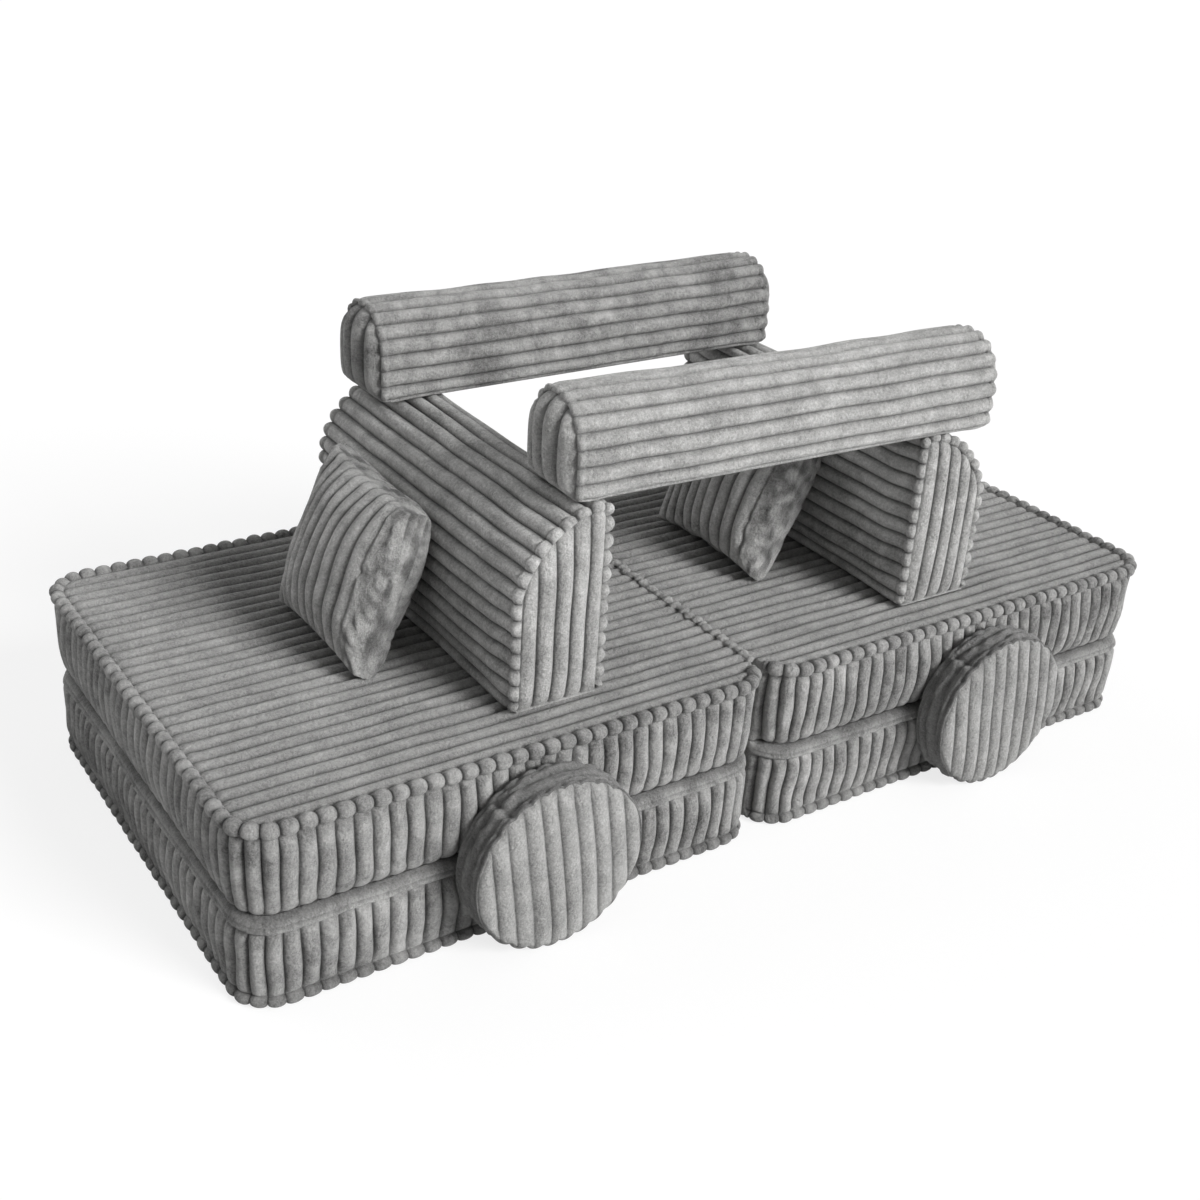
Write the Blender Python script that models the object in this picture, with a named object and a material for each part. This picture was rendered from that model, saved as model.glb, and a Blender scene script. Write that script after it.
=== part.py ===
"""Modular foam play sofa, set up as a little car: every cushion is a zipped ribbed cover over a core."""

import math

import bmesh
import bpy
import numpy as np
from mathutils import Matrix, Vector

# Cloth: wide ribs of plush, and what the maker leaves between pieces
RIB_PITCH = 0.025
RIB_DEPTH = 0.006
COVER_WALL = 0.010
FIT_GAP = 0.0003
CUT_OVERRUN = 0.002

# Folding mattresses: two, each of two pads joined along one edge
PAD_LENGTH = 0.820
PAD_DEPTH = 0.767
PAD_THICKNESS = 0.140
PAD_CORNER_RADIUS = 0.060
PAD_EDGE_TUCK = 0.003
BEAD_PROUD = 0.004
BEAD_NECK = 0.018
BEAD_DROP = 0.003
BEAD_VALLEY_DROP = 0.010
PANEL_MARGIN = 0.014
HINGE_SEAM_RADIUS = 0.005
HINGE_SEAM_PUCKER = 0.0012

# Backrest wedges: upright on one side, and curved over to the top on the other
WEDGE_BASE = 0.150
WEDGE_HEIGHT = 0.290
WEDGE_LENGTH = 0.610
WEDGE_SHOULDER_HEIGHT = 0.165
WEDGE_TOP_FLAT = 0.004
WEDGE_END_CROWN = 0.005
WEDGE_TOP_RADIUS = 0.018
WEDGE_LEFT_X = -0.323
WEDGE_RIGHT_X = 0.385
WEDGE_LEFT_Y = 0.005
WEDGE_RIGHT_Y = -0.004

# Roof bars: loaf-shaped bolsters with a flat bottom
BAR_LENGTH = 0.745
BAR_WIDTH = 0.140
BAR_HEIGHT = 0.143
BAR_SIDE_HEIGHT = 0.045
BAR_BOTTOM_RADIUS = 0.014
BAR_END_CROWN = 0.012
BAR_FRONT_X = 0.065
BAR_FRONT_Y = -0.238
BAR_FRONT_TURN = math.radians(-2.5)
BAR_BACK_X = 0.0
BAR_BACK_Y = 0.2145
BAR_BACK_TURN = 0.0

# Small square pillows
PILLOW_SIDE = 0.255
PILLOW_THICKNESS = 0.140
PILLOW_EDGE = 0.034
PILLOW_DRAW_IN = 0.007
PILLOW_FOOT_CUT = 0.003
PILLOW_LEFT_LEAN = math.radians(22.0)
PILLOW_RIGHT_LEAN = math.radians(27.0)
PILLOW_LEFT_Y = 0.011
PILLOW_RIGHT_Y = 0.002

# Wheel discs, which stand on the floor against the front
WHEEL_DIAMETER = 0.262
WHEEL_THICKNESS = 0.066
WHEEL_BAND_RIB_DEPTH = 0.005
WHEEL_FOOT_CUT = 0.0005
WHEEL_LEFT_X = -0.403
WHEEL_RIGHT_X = 0.430

# Ends of the lofted cushions: how far the end seam is drawn in
END_SEAM_TUCK = 0.010
END_SEAM_ROUND = 0.008

# Zips, sunk in a slot of the cover on a side that does not show
ZIP_SLOT_WIDTH = 0.016
ZIP_TAPE_THICKNESS = 0.0015
ZIP_CHAIN_WIDTH = 0.005
ZIP_CHAIN_HEIGHT = 0.0012
SLIDER_LENGTH = 0.011
SLIDER_WIDTH = 0.009
SLIDER_ROOF = 0.0014
SLIDER_PULL_LENGTH = 0.020
SLIDER_PULL_WIDTH = 0.006
SLIDER_PULL_THICKNESS = 0.0011
ZIP_END_STOP = 0.004
PAD_ZIP_LENGTH = 0.520
WEDGE_ZIP_LENGTH = 0.440
BAR_ZIP_LENGTH = 0.560
PILLOW_ZIP_LENGTH = 0.170
WHEEL_ZIP_LENGTH = 0.170

# Shares and counts
DOME_POWER = 1.6
DOME_STEPS = 40
ARC_STEPS = 10
CORE_CORNER_STEPS = 3
CORE_DOME_STEPS = 6
END_ROW_SHARES = (-1.0, -0.5, 0.0, 0.5, 1.0)
LEAST_CORNER_STEPS = 2
LEAST_RIBS = 3
WHEEL_SIDES = 28
WHEEL_BAND_RIBS = 3
PILLOW_ROW_SHARES = (-1.0, -0.6, 0.0, 0.6, 1.0)
PILLOW_CORE_SHARES = (-1.0, -0.5, 0.0, 0.5, 1.0)
PILLOW_CROWN_SHARE = 0.5
PILLOW_SEAM_RIB_SHARE = 0.5
HINGE_SEAM_SIDES = 6

# Finishes
PLUSH_GREY = (0.30, 0.30, 0.29, 1.0)
PLUSH_ROUGHNESS = 0.95
FOAM_CREAM = (0.86, 0.82, 0.68, 1.0)
FOAM_ROUGHNESS = 0.9
FIBRE_WHITE = (0.90, 0.90, 0.88, 1.0)
FIBRE_ROUGHNESS = 0.95
ZIP_GREY = (0.20, 0.20, 0.20, 1.0)
ZIP_ROUGHNESS = 0.8
SLIDER_GREY = (0.45, 0.45, 0.46, 1.0)
SLIDER_ROUGHNESS = 0.4
SLIDER_METALLIC = 0.6

# Worked out from the sizes above
HALF_GAP = HINGE_SEAM_RADIUS + FIT_GAP
PAD_CENTRE_X = HALF_GAP + PAD_LENGTH / 2
UPPER_PAD_Z = PAD_THICKNESS + FIT_GAP
STACK_TOP = UPPER_PAD_Z + PAD_THICKNESS
DECK = STACK_TOP + FIT_GAP
# The back of a wheel stands just clear of the beads
WHEEL_BACK_Y = -(PAD_DEPTH / 2 + BEAD_PROUD + FIT_GAP)
# The pads' centre lies behind the origin, so that the origin is the centre of the whole footprint
ORIGIN_SHIFT = (WHEEL_THICKNESS - WHEEL_BACK_Y - PAD_DEPTH / 2 - BEAD_PROUD) / 2


def clear_scene():
    for old in list(bpy.data.objects):
        bpy.data.objects.remove(old, do_unlink=True)


def make_material(name, colour, roughness, metallic=0.0):
    material = bpy.data.materials.new(name)
    material.use_nodes = True
    shader = material.node_tree.nodes["Principled BSDF"]
    shader.inputs["Base Color"].default_value = colour
    shader.inputs["Roughness"].default_value = roughness
    shader.inputs["Metallic"].default_value = metallic
    material.diffuse_color = colour
    return material


def make_empty(name, parent=None, location=(0, 0, 0), lean=0.0, turn=0.0):
    empty = bpy.data.objects.new(name, None)
    bpy.context.collection.objects.link(empty)
    empty.location = location
    empty.rotation_euler = (0.0, lean, turn)
    empty.parent = parent
    return empty


def make_object(name, bm, material, parent=None, matrix=None):
    """Turns the faces outwards, and links the mesh as an object under its parent."""
    bmesh.ops.recalc_face_normals(bm, faces=bm.faces)
    mesh = bpy.data.meshes.new(name)
    bm.to_mesh(mesh)
    bm.free()
    obj = bpy.data.objects.new(name, mesh)
    bpy.context.collection.objects.link(obj)
    if material is not None:
        mesh.materials.append(material)
    obj.parent = parent
    if matrix is not None:
        obj.matrix_local = matrix
    return obj


def subtract(obj, cutter):
    """Cuts one object from another with a live Boolean, and keeps the cutter as a guide."""
    cutter.hide_render = True
    cutter.display_type = "WIRE"
    boolean = obj.modifiers.new("cut_" + cutter.name, "BOOLEAN")
    boolean.operation = "DIFFERENCE"
    boolean.solver = "EXACT"
    boolean.object = cutter


def box_mesh(low, high):
    bm = bmesh.new()
    bmesh.ops.create_cube(bm, size=1.0)
    for vert in bm.verts:
        for axis in range(3):
            vert.co[axis] = low[axis] if vert.co[axis] < 0 else high[axis]
    return bm


# Outlines: each is a closed walk, counter-clockwise, whose ribbed stretch comes first

def arc(centre, radius, start, end, steps):
    turns = np.linspace(start, end, steps + 1)
    return [(centre[0] + radius * math.cos(t), centre[1] + radius * math.sin(t)) for t in turns]


def dome(centre, half_width, rise, start, end, steps):
    """Part of the rounded hump that both the wedges and the bars have."""
    points = []
    for turn in np.linspace(start, end, steps + 1):
        c, s = math.cos(turn), math.sin(turn)
        across = math.copysign(abs(c) ** (2 / DOME_POWER), c)
        up = abs(s) ** (2 / DOME_POWER)
        points.append((centre[0] + half_width * across, centre[1] + rise * up))
    return points


def pad_outline(inset, steps):
    """Half of a mattress from above, with its joined edge at -X; the joined edge is plain."""
    half_l = PAD_LENGTH / 2 - inset
    half_d = PAD_DEPTH / 2 - inset
    radius = PAD_CORNER_RADIUS - inset
    quarter = math.pi / 2
    points = []
    for turn, sx, sy in ((2, -1, -1), (3, 1, -1), (0, 1, 1), (1, -1, 1)):
        centre = (sx * (half_l - radius), sy * (half_d - radius))
        points += arc(centre, radius, turn * quarter, (turn + 1) * quarter, steps)
    return points


def wedge_outline(inset, steps):
    """A backrest's end, upright side at -X, seen along +Y; its base is plain."""
    half = WEDGE_BASE / 2 - inset
    top = WEDGE_HEIGHT - inset
    corner = max(WEDGE_TOP_RADIUS - inset, FIT_GAP)
    crown_x = -half + corner + WEDGE_TOP_FLAT
    hump = dome((crown_x, WEDGE_SHOULDER_HEIGHT), half - crown_x, top - WEDGE_SHOULDER_HEIGHT,
                0, math.pi / 2, steps)
    corner_steps = max(steps // CORE_DOME_STEPS, LEAST_CORNER_STEPS)
    top_corner = arc((-half + corner, top - corner), corner, math.pi / 2, math.pi, corner_steps)
    return [(half, inset)] + hump + top_corner + [(-half, inset)]


def bar_outline(inset, steps):
    """A roof bar's end; its bottom is plain between two small rounded edges."""
    half = BAR_WIDTH / 2 - inset
    top = BAR_HEIGHT - inset
    radius = BAR_BOTTOM_RADIUS - inset / 2
    low = inset + radius
    corner_steps = max(steps // CORE_DOME_STEPS, LEAST_CORNER_STEPS)
    right = arc((half - radius, low), radius, -math.pi / 2, 0, corner_steps)
    left = arc((-half + radius, low), radius, math.pi, 3 * math.pi / 2, corner_steps)
    hump = dome((0, BAR_SIDE_HEIGHT), half, top - BAR_SIDE_HEIGHT, 0, math.pi, steps)
    return right + hump + left


def wheel_outline(inset, steps):
    return arc((0, 0), WHEEL_DIAMETER / 2 - inset, 0, 2 * math.pi, steps)[:-1]


class Walk:
    """Reads points and outward normals along an open outline by its length."""

    def __init__(self, points):
        self.points = [Vector(p) for p in points]
        steps = [(b - a).length for a, b in zip(self.points, self.points[1:])]
        self.reach = np.concatenate(([0.0], np.cumsum(steps)))
        self.length = float(self.reach[-1])

    def at(self, distance):
        index = int(np.searchsorted(self.reach, distance, side="right")) - 1
        index = min(max(index, 0), len(self.points) - 2)
        a, b = self.points[index], self.points[index + 1]
        span = self.reach[index + 1] - self.reach[index]
        share = (distance - self.reach[index]) / span
        along = (b - a).normalized()
        return a.lerp(b, share), Vector((along.y, -along.x))


def rib_stations(points):
    """Crests and valleys of the ribs that cross an outline; its two ends are plain."""
    walk = Walk(points)
    ribs = max(round(walk.length / RIB_PITCH), LEAST_RIBS)
    stations = []
    for half_step in range(2 * ribs + 1):
        distance = walk.length * half_step / (2 * ribs)
        point, normal = walk.at(distance)
        kind = "crest" if half_step % 2 else "valley"
        if half_step in (0, 2 * ribs):
            kind = "plain"
        stations.append((point, normal, kind))
    return stations


def add_ring(bm, stations, levels, place):
    """One ring of vertices; levels gives each kind its height and how far out it stands."""
    ring = []
    for point, normal, kind in stations:
        height, out = levels[kind]
        flat = point + normal * out
        ring.append(bm.verts.new(place(flat.x, flat.y, height)))
    return ring


def join_rings(bm, low, high):
    count = len(low)
    for i in range(count):
        j = (i + 1) % count
        bm.faces.new((low[i], low[j], high[j], high[i]))


def add_flat_cap(bm, ring, place, height):
    """Closes a scalloped ring with a fan of faces round its middle."""
    middle = bm.verts.new(place(0, 0, height))
    for a, b in zip(ring, ring[1:] + ring[:1]):
        bm.faces.new((a, b, middle))


def lace(bm, outer, inner, read):
    """Fills the band between two loops that both run once round the section's middle."""
    centre = sum((Vector(read(v.co)) for v in inner), Vector((0, 0))) / len(inner)

    def turns(loop):
        angles = []
        for vert in loop:
            flat = Vector(read(vert.co)) - centre
            angles.append(math.atan2(flat.y, flat.x) % (2 * math.pi))
        start = angles.index(min(angles))
        loop, angles = loop[start:] + loop[:start], angles[start:] + angles[:start]
        return loop + loop[:1], angles + [angles[0] + 2 * math.pi]

    outer, outer_turns = turns(outer)
    inner, inner_turns = turns(inner)
    i, j = 0, 0
    while i < len(outer) - 1 or j < len(inner) - 1:
        step_outer = i < len(outer) - 1
        if step_outer and j < len(inner) - 1:
            step_outer = outer_turns[i + 1] <= inner_turns[j + 1]
        if step_outer:
            bm.faces.new((outer[i], outer[i + 1], inner[j]))
            i += 1
        else:
            bm.faces.new((outer[i], inner[j + 1], inner[j]))
            j += 1


def chord(outline, across):
    """Where the line first = across enters and leaves a convex outline."""
    hits = []
    for a, b in zip(outline, outline[1:] + outline[:1]):
        if (a[0] - across) * (b[0] - across) < 0:
            share = (across - a[0]) / (b[0] - a[0])
            hits.append(a[1] + share * (b[1] - a[1]))
    return min(hits), max(hits)


def add_ribbed_panel(bm, rim, outline, shape, top, depth, crown=0.0, turned=False, shoulders=()):
    """Fills a rim with a panel whose ribs run along the second axis, or the first if turned.

    A crown lets the middle of the panel swell out. Shoulders are points of the panel's border
    beyond its first and last rib, if it needs any.
    """
    place, read = shape

    def swap(point):
        return (point[1], point[0]) if turned else (point[0], point[1])

    def add(across, along, level):
        spot = swap((across, along))
        return bm.verts.new(place(spot[0], spot[1], level))

    flat = [swap(p) for p in outline]
    low, high = min(p[0] for p in flat), max(p[0] for p in flat)
    ribs = max(round((high - low) / RIB_PITCH), LEAST_RIBS)
    rows = END_ROW_SHARES if crown else (-1.0, 1.0)
    lines = []
    for half_step in range(1, 2 * ribs):
        across = low + (high - low) * half_step / (2 * ribs)
        level = top if half_step % 2 else top - depth
        near, far = chord(flat, across)
        line = []
        for row in rows:
            swell = crown * (1 - row * row) * (1 - (half_step / ribs - 1) ** 2)
            line.append(add(across, near + (far - near) * (row + 1) / 2, level + swell))
        lines.append(line)
    for first, second in zip(lines, lines[1:]):
        for k in range(len(rows) - 1):
            bm.faces.new((first[k], second[k], second[k + 1], first[k + 1]))
    first_line = low + (high - low) / (2 * ribs)
    caps = []
    for end in (-1, 1):
        middle = (low + high) / 2
        reach = middle - first_line
        spots = [swap(p) for p in shoulders if (swap(p)[0] - middle) * end > reach + FIT_GAP]
        spots.sort(key=lambda p: p[1])
        cap = [add(across, along, top - depth) for across, along in spots]
        line = lines[0] if end < 0 else lines[-1]
        for a, b in zip(cap, cap[1:]):
            bm.faces.new((line[0], a, b))
        if cap:
            bm.faces.new((line[0], cap[-1], line[-1]))
        else:
            cap = line[1:-1]
        caps.append(cap)
    border = [line[0] for line in lines] + caps[1]
    border += [line[-1] for line in reversed(lines)] + caps[0][::-1]
    if turned:
        border.reverse()
    lace(bm, rim, border, read)


def add_plain_prism(outline, low, high, place):
    """The smooth solid of a core or of the hollow round it."""
    bm = bmesh.new()
    bottom = [bm.verts.new(place(x, y, low)) for x, y in outline]
    top = [bm.verts.new(place(x, y, high)) for x, y in outline]
    join_rings(bm, bottom, top)
    bm.faces.new(bottom)
    bm.faces.new(top)
    return bm


def finish_form(bm):
    bmesh.ops.triangulate(bm, faces=bm.faces)
    return bm


# The three ways that a section stands in the part, each with the way back to its own plane

def standing(x, y, height):
    return (x, y, height)


def facing_front(x, y, height):
    return (x, height, y)


def facing_side(x, y, height):
    return (height, x, y)


def read_standing(point):
    return (point[0], point[1])


def read_front(point):
    return (point[0], point[2])


def read_side(point):
    return (point[1], point[2])


FLAT = (standing, read_standing)
ALONG_Y = (facing_front, read_front)
ALONG_X = (facing_side, read_side)


# Zips

def zip_mesh(length):
    """The tape with its chain, lying on the core in the slot; the zip runs along X."""
    half = ZIP_SLOT_WIDTH / 2 - FIT_GAP
    chain = ZIP_CHAIN_WIDTH / 2
    low = FIT_GAP
    tape = low + ZIP_TAPE_THICKNESS
    crest = tape + ZIP_CHAIN_HEIGHT
    section = ((-half, low), (half, low), (half, tape), (chain, tape),
               (chain, crest), (-chain, crest), (-chain, tape), (-half, tape))
    reach = length / 2 - FIT_GAP
    return add_plain_prism(section, -reach, reach, facing_side)


def slider_mesh():
    """A slider that straddles the chain, with its pull lying along the zip."""
    foot = FIT_GAP + ZIP_TAPE_THICKNESS + FIT_GAP
    channel = ZIP_CHAIN_WIDTH / 2 + FIT_GAP
    ceiling = foot + ZIP_CHAIN_HEIGHT
    roof = ceiling + SLIDER_ROOF
    half = SLIDER_WIDTH / 2
    section = ((-half, foot), (-channel, foot), (-channel, ceiling), (channel, ceiling),
               (channel, foot), (half, foot), (half, roof), (-half, roof))
    return add_plain_prism(section, 0, SLIDER_LENGTH, facing_side)


def pull_mesh():
    foot = FIT_GAP + ZIP_TAPE_THICKNESS + FIT_GAP
    roof = foot + ZIP_CHAIN_HEIGHT + SLIDER_ROOF
    low = (SLIDER_LENGTH / 2, -SLIDER_PULL_WIDTH / 2, roof - SLIDER_ROOF / 2)
    high = (SLIDER_LENGTH / 2 + SLIDER_PULL_LENGTH, SLIDER_PULL_WIDTH / 2,
            roof + SLIDER_PULL_THICKNESS)
    return box_mesh(low, high)


def add_zip(name, cover, frame, matrix, length, materials):
    """Cuts the slot in a cover, and lays the zip and its slider in it."""
    beyond = COVER_WALL + RIB_DEPTH + PILLOW_DRAW_IN
    slot = box_mesh((-length / 2, -ZIP_SLOT_WIDTH / 2, -CUT_OVERRUN),
                    (length / 2, ZIP_SLOT_WIDTH / 2, beyond))
    subtract(cover, make_object(name + "_slot", slot, None, frame, matrix))
    make_object(name + "_zip", zip_mesh(length), materials["zip"], frame, matrix)
    start = Matrix.Translation((-length / 2 + ZIP_END_STOP, 0, 0))
    slider = make_object(name + "_zip_slider", slider_mesh(), materials["slider"], frame,
                         matrix @ start)
    pull = make_object(name + "_pull", pull_mesh(), None, frame, matrix @ start)
    pull.hide_render = True
    pull.display_type = "WIRE"
    union = slider.modifiers.new("pull", "BOOLEAN")
    union.operation = "UNION"
    union.solver = "EXACT"
    union.object = pull


def zip_matrix(spot, along, outward):
    """A zip's own axes: X along it, Z out of the cushion, with its zero on the core."""
    x_axis, z_axis = Vector(along), Vector(outward)
    y_axis = z_axis.cross(x_axis)
    turn = Matrix((x_axis, y_axis, z_axis)).transposed().to_4x4()
    return Matrix.Translation(spot) @ turn


def add_hollow(name, cover, frame, hollow):
    subtract(cover, make_object(name + "_hollow", hollow, None, frame))


# Pads

def pad_cover_mesh(beads_up):
    """A pad's ribbed band with its row of beads, and its two panels."""
    bm = bmesh.new()
    stations = rib_stations(pad_outline(0, ARC_STEPS))
    top = PAD_THICKNESS
    tuck = -PAD_EDGE_TUCK
    rings = (
        {"crest": (0, tuck), "valley": (0, tuck - RIB_DEPTH), "plain": (0, 0)},
        {"crest": (top - BEAD_NECK, 0), "valley": (top - BEAD_NECK, -RIB_DEPTH),
         "plain": (top - BEAD_NECK, 0)},
        {"crest": (top - BEAD_DROP, BEAD_PROUD), "valley": (top - BEAD_VALLEY_DROP, -RIB_DEPTH),
         "plain": (top, 0)},
    )
    if not beads_up:
        flipped = []
        for levels in rings:
            flipped.append({kind: (top - height, out) for kind, (height, out) in levels.items()})
        rings = tuple(reversed(flipped))
        # The row of beads lies on the floor, so each of its ribs is cut level there
        rings[0]["crest"] = (0, BEAD_PROUD)
        rings[0]["valley"] = (0, -RIB_DEPTH)
    low, middle, high = (add_ring(bm, stations, levels, standing) for levels in rings)
    join_rings(bm, low, middle)
    join_rings(bm, middle, high)
    add_flat_cap(bm, low, standing, 0)
    if beads_up:
        shoulders = [p - n * PANEL_MARGIN for p, n, kind in stations if kind != "crest"]
        add_ribbed_panel(bm, high, pad_outline(PANEL_MARGIN, ARC_STEPS), FLAT, top, RIB_DEPTH,
                         turned=True, shoulders=shoulders)
    else:
        add_flat_cap(bm, high, standing, top)
    return finish_form(bm)


def build_pad(name, side, base, beads_up, root, materials):
    """One pad with its cover, foam and zip; side is -1 for the left one, +1 for the right."""
    frame = make_empty(name, root, (side * PAD_CENTRE_X, 0, base))
    mirror = Matrix.Diagonal((side, 1, 1, 1))
    form = pad_cover_mesh(beads_up)
    bmesh.ops.transform(form, matrix=mirror, verts=form.verts)
    cover = make_object(name + "_cover", form, materials["plush"], frame)
    for inset, part in ((COVER_WALL, "_hollow"), (COVER_WALL + FIT_GAP, "_foam")):
        core = add_plain_prism(pad_outline(inset, CORE_CORNER_STEPS), inset,
                               PAD_THICKNESS - inset, standing)
        bmesh.ops.transform(core, matrix=mirror, verts=core.verts)
        if part == "_hollow":
            add_hollow(name, cover, frame, core)
        else:
            make_object(name + part, core, materials["foam"], frame)
    # The zip is on the joined edge, where the pads fold together
    spot = (-side * (PAD_LENGTH / 2 - COVER_WALL), 0, PAD_THICKNESS / 2)
    add_zip(name, cover, frame, zip_matrix(spot, (0, 1, 0), (-side, 0, 0)), PAD_ZIP_LENGTH,
            materials)


def build_hinge_seam(name, height, root, material):
    """The puckered ridge where the two pads of a mattress are sewn together."""
    bm = bmesh.new()
    half = PAD_DEPTH / 2 - PAD_CORNER_RADIUS
    puckers = max(round(half / RIB_PITCH), 1)
    rings = []
    for step in range(2 * puckers + 1):
        y = -half + half * step / puckers
        radius = HINGE_SEAM_RADIUS - (0 if step % 2 else HINGE_SEAM_PUCKER)
        turns = [i * 2 * math.pi / HINGE_SEAM_SIDES for i in range(HINGE_SEAM_SIDES)]
        rings.append([bm.verts.new((radius * math.cos(t), y, radius * math.sin(t))) for t in turns])
    for a, b in zip(rings, rings[1:]):
        join_rings(bm, a, b)
    bm.faces.new(rings[0])
    bm.faces.new(rings[-1])
    make_object(name, finish_form(bm), material, root, Matrix.Translation((0, 0, height)))


# Wedges and roof bars: lofts along their length with a ribbed panel at each end

def loft_cover_mesh(outline_of, length, crown, shape):
    bm = bmesh.new()
    place = shape[0]
    outline = outline_of(0, DOME_STEPS)
    stations = rib_stations(outline)
    half = length / 2
    rings = []
    for end in (-1, 1):
        seam = {kind: (end * half, -END_SEAM_TUCK) for kind in ("crest", "valley", "plain")}
        body = {"crest": (end * (half - END_SEAM_ROUND), 0),
                "valley": (end * (half - END_SEAM_ROUND), -RIB_DEPTH),
                "plain": (end * (half - END_SEAM_ROUND), 0)}
        pair = [add_ring(bm, stations, levels, place) for levels in (seam, body)]
        rings += pair if end < 0 else pair[::-1]
    for a, b in zip(rings, rings[1:]):
        join_rings(bm, a, b)
    panel = outline_of(END_SEAM_TUCK + RIB_DEPTH, DOME_STEPS)
    for end, rim in ((-1, rings[0]), (1, rings[-1])):
        add_ribbed_panel(bm, rim, panel, shape, end * half, end * RIB_DEPTH, end * crown)
    return finish_form(bm)


def build_loft(name, outline_of, length, crown, shape, frame, mirror_x, materials):
    form = loft_cover_mesh(outline_of, length, crown, shape)
    mirror = Matrix.Diagonal((-1 if mirror_x else 1, 1, 1, 1))
    bmesh.ops.transform(form, matrix=mirror, verts=form.verts)
    cover = make_object(name + "_cover", form, materials["plush"], frame)
    for inset, part in ((COVER_WALL, "_hollow"), (COVER_WALL + FIT_GAP, "_foam")):
        reach = length / 2 - inset
        core = add_plain_prism(outline_of(inset, CORE_DOME_STEPS), -reach, reach, shape[0])
        bmesh.ops.transform(core, matrix=mirror, verts=core.verts)
        if part == "_hollow":
            add_hollow(name, cover, frame, core)
        else:
            make_object(name + part, core, materials["foam"], frame)
    return cover


def build_wedge(name, x, y, mirror_x, root, materials):
    frame = make_empty(name, root, (x, y, DECK))
    cover = build_loft(name, wedge_outline, WEDGE_LENGTH, WEDGE_END_CROWN, ALONG_Y, frame,
                       mirror_x, materials)
    matrix = zip_matrix((0, 0, COVER_WALL), (0, 1, 0), (0, 0, -1))
    add_zip(name, cover, frame, matrix, WEDGE_ZIP_LENGTH, materials)


def wedge_top():
    """The height of a wedge's highest rib, on which the roof bars lie."""
    return max(point[1] for point, _, kind in rib_stations(wedge_outline(0, DOME_STEPS))
               if kind == "crest")


def build_bar(name, x, y, turn, root, materials):
    frame = make_empty(name, root, (x, y, DECK + wedge_top() + FIT_GAP), turn=turn)
    cover = build_loft(name, bar_outline, BAR_LENGTH, BAR_END_CROWN, ALONG_X, frame, False,
                       materials)
    matrix = zip_matrix((0, 0, COVER_WALL), (1, 0, 0), (0, 0, -1))
    add_zip(name, cover, frame, matrix, BAR_ZIP_LENGTH, materials)


# Wheel discs

def wheel_cover_mesh():
    bm = bmesh.new()
    outline = wheel_outline(0, WHEEL_SIDES)
    stations = [(Vector(p), Vector(p).normalized(), "plain") for p in outline]
    half = WHEEL_THICKNESS / 2
    bands = 2 * WHEEL_BAND_RIBS
    levels = [(-half, -END_SEAM_TUCK)]
    for step in range(1, bands):
        out = 0 if step % 2 else -WHEEL_BAND_RIB_DEPTH
        levels.append((-half + WHEEL_THICKNESS * step / bands, out))
    levels.append((half, -END_SEAM_TUCK))
    rings = [add_ring(bm, stations, {"plain": level}, facing_front) for level in levels]
    for a, b in zip(rings, rings[1:]):
        join_rings(bm, a, b)
    panel = wheel_outline(END_SEAM_TUCK + RIB_DEPTH, WHEEL_SIDES)
    for end, rim in ((-1, rings[0]), (1, rings[-1])):
        add_ribbed_panel(bm, rim, panel, ALONG_Y, end * half, end * RIB_DEPTH)
    # Its foot is pressed flat where it stands on the floor
    foot = -WHEEL_DIAMETER / 2 + WHEEL_FOOT_CUT
    for vert in bm.verts:
        vert.co.z = max(vert.co.z, foot)
    return finish_form(bm)


def build_wheel(name, x, root, materials):
    centre_y = WHEEL_BACK_Y - WHEEL_THICKNESS / 2
    frame = make_empty(name, root, (x, centre_y, WHEEL_DIAMETER / 2 - WHEEL_FOOT_CUT))
    cover = make_object(name + "_cover", wheel_cover_mesh(), materials["plush"], frame)
    for inset, part in ((COVER_WALL, "_hollow"), (COVER_WALL + FIT_GAP, "_foam")):
        reach = WHEEL_THICKNESS / 2 - inset
        side_inset = inset + WHEEL_BAND_RIB_DEPTH
        core = add_plain_prism(wheel_outline(side_inset, WHEEL_SIDES), -reach, reach, facing_front)
        if part == "_hollow":
            add_hollow(name, cover, frame, core)
        else:
            make_object(name + part, core, materials["foam"], frame)
    spot = (0, WHEEL_THICKNESS / 2 - COVER_WALL, 0)
    add_zip(name, cover, frame, zip_matrix(spot, (1, 0, 0), (0, 1, 0)), WHEEL_ZIP_LENGTH, materials)


# Pillows

def pillow_point(across, up, side, inset, rib_sink):
    """A point of one face; across and up run from -1 to 1, and side is -1 or 1."""
    half = PILLOW_SIDE / 2 - inset
    # The cover's sides draw in between its corners; the core's sides are straight
    bow_y, bow_z = (1, 1) if inset else (1 - up * up, 1 - across * across)
    y = across * (half - PILLOW_DRAW_IN * bow_y)
    z = up * (half - PILLOW_DRAW_IN * bow_z)
    swell = ((1 - across * across) * (1 - up * up)) ** PILLOW_CROWN_SHARE
    thick = PILLOW_EDGE / 2 + (PILLOW_THICKNESS - PILLOW_EDGE) / 2 * swell
    return (side * (thick - inset - rib_sink), y, z)


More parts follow.
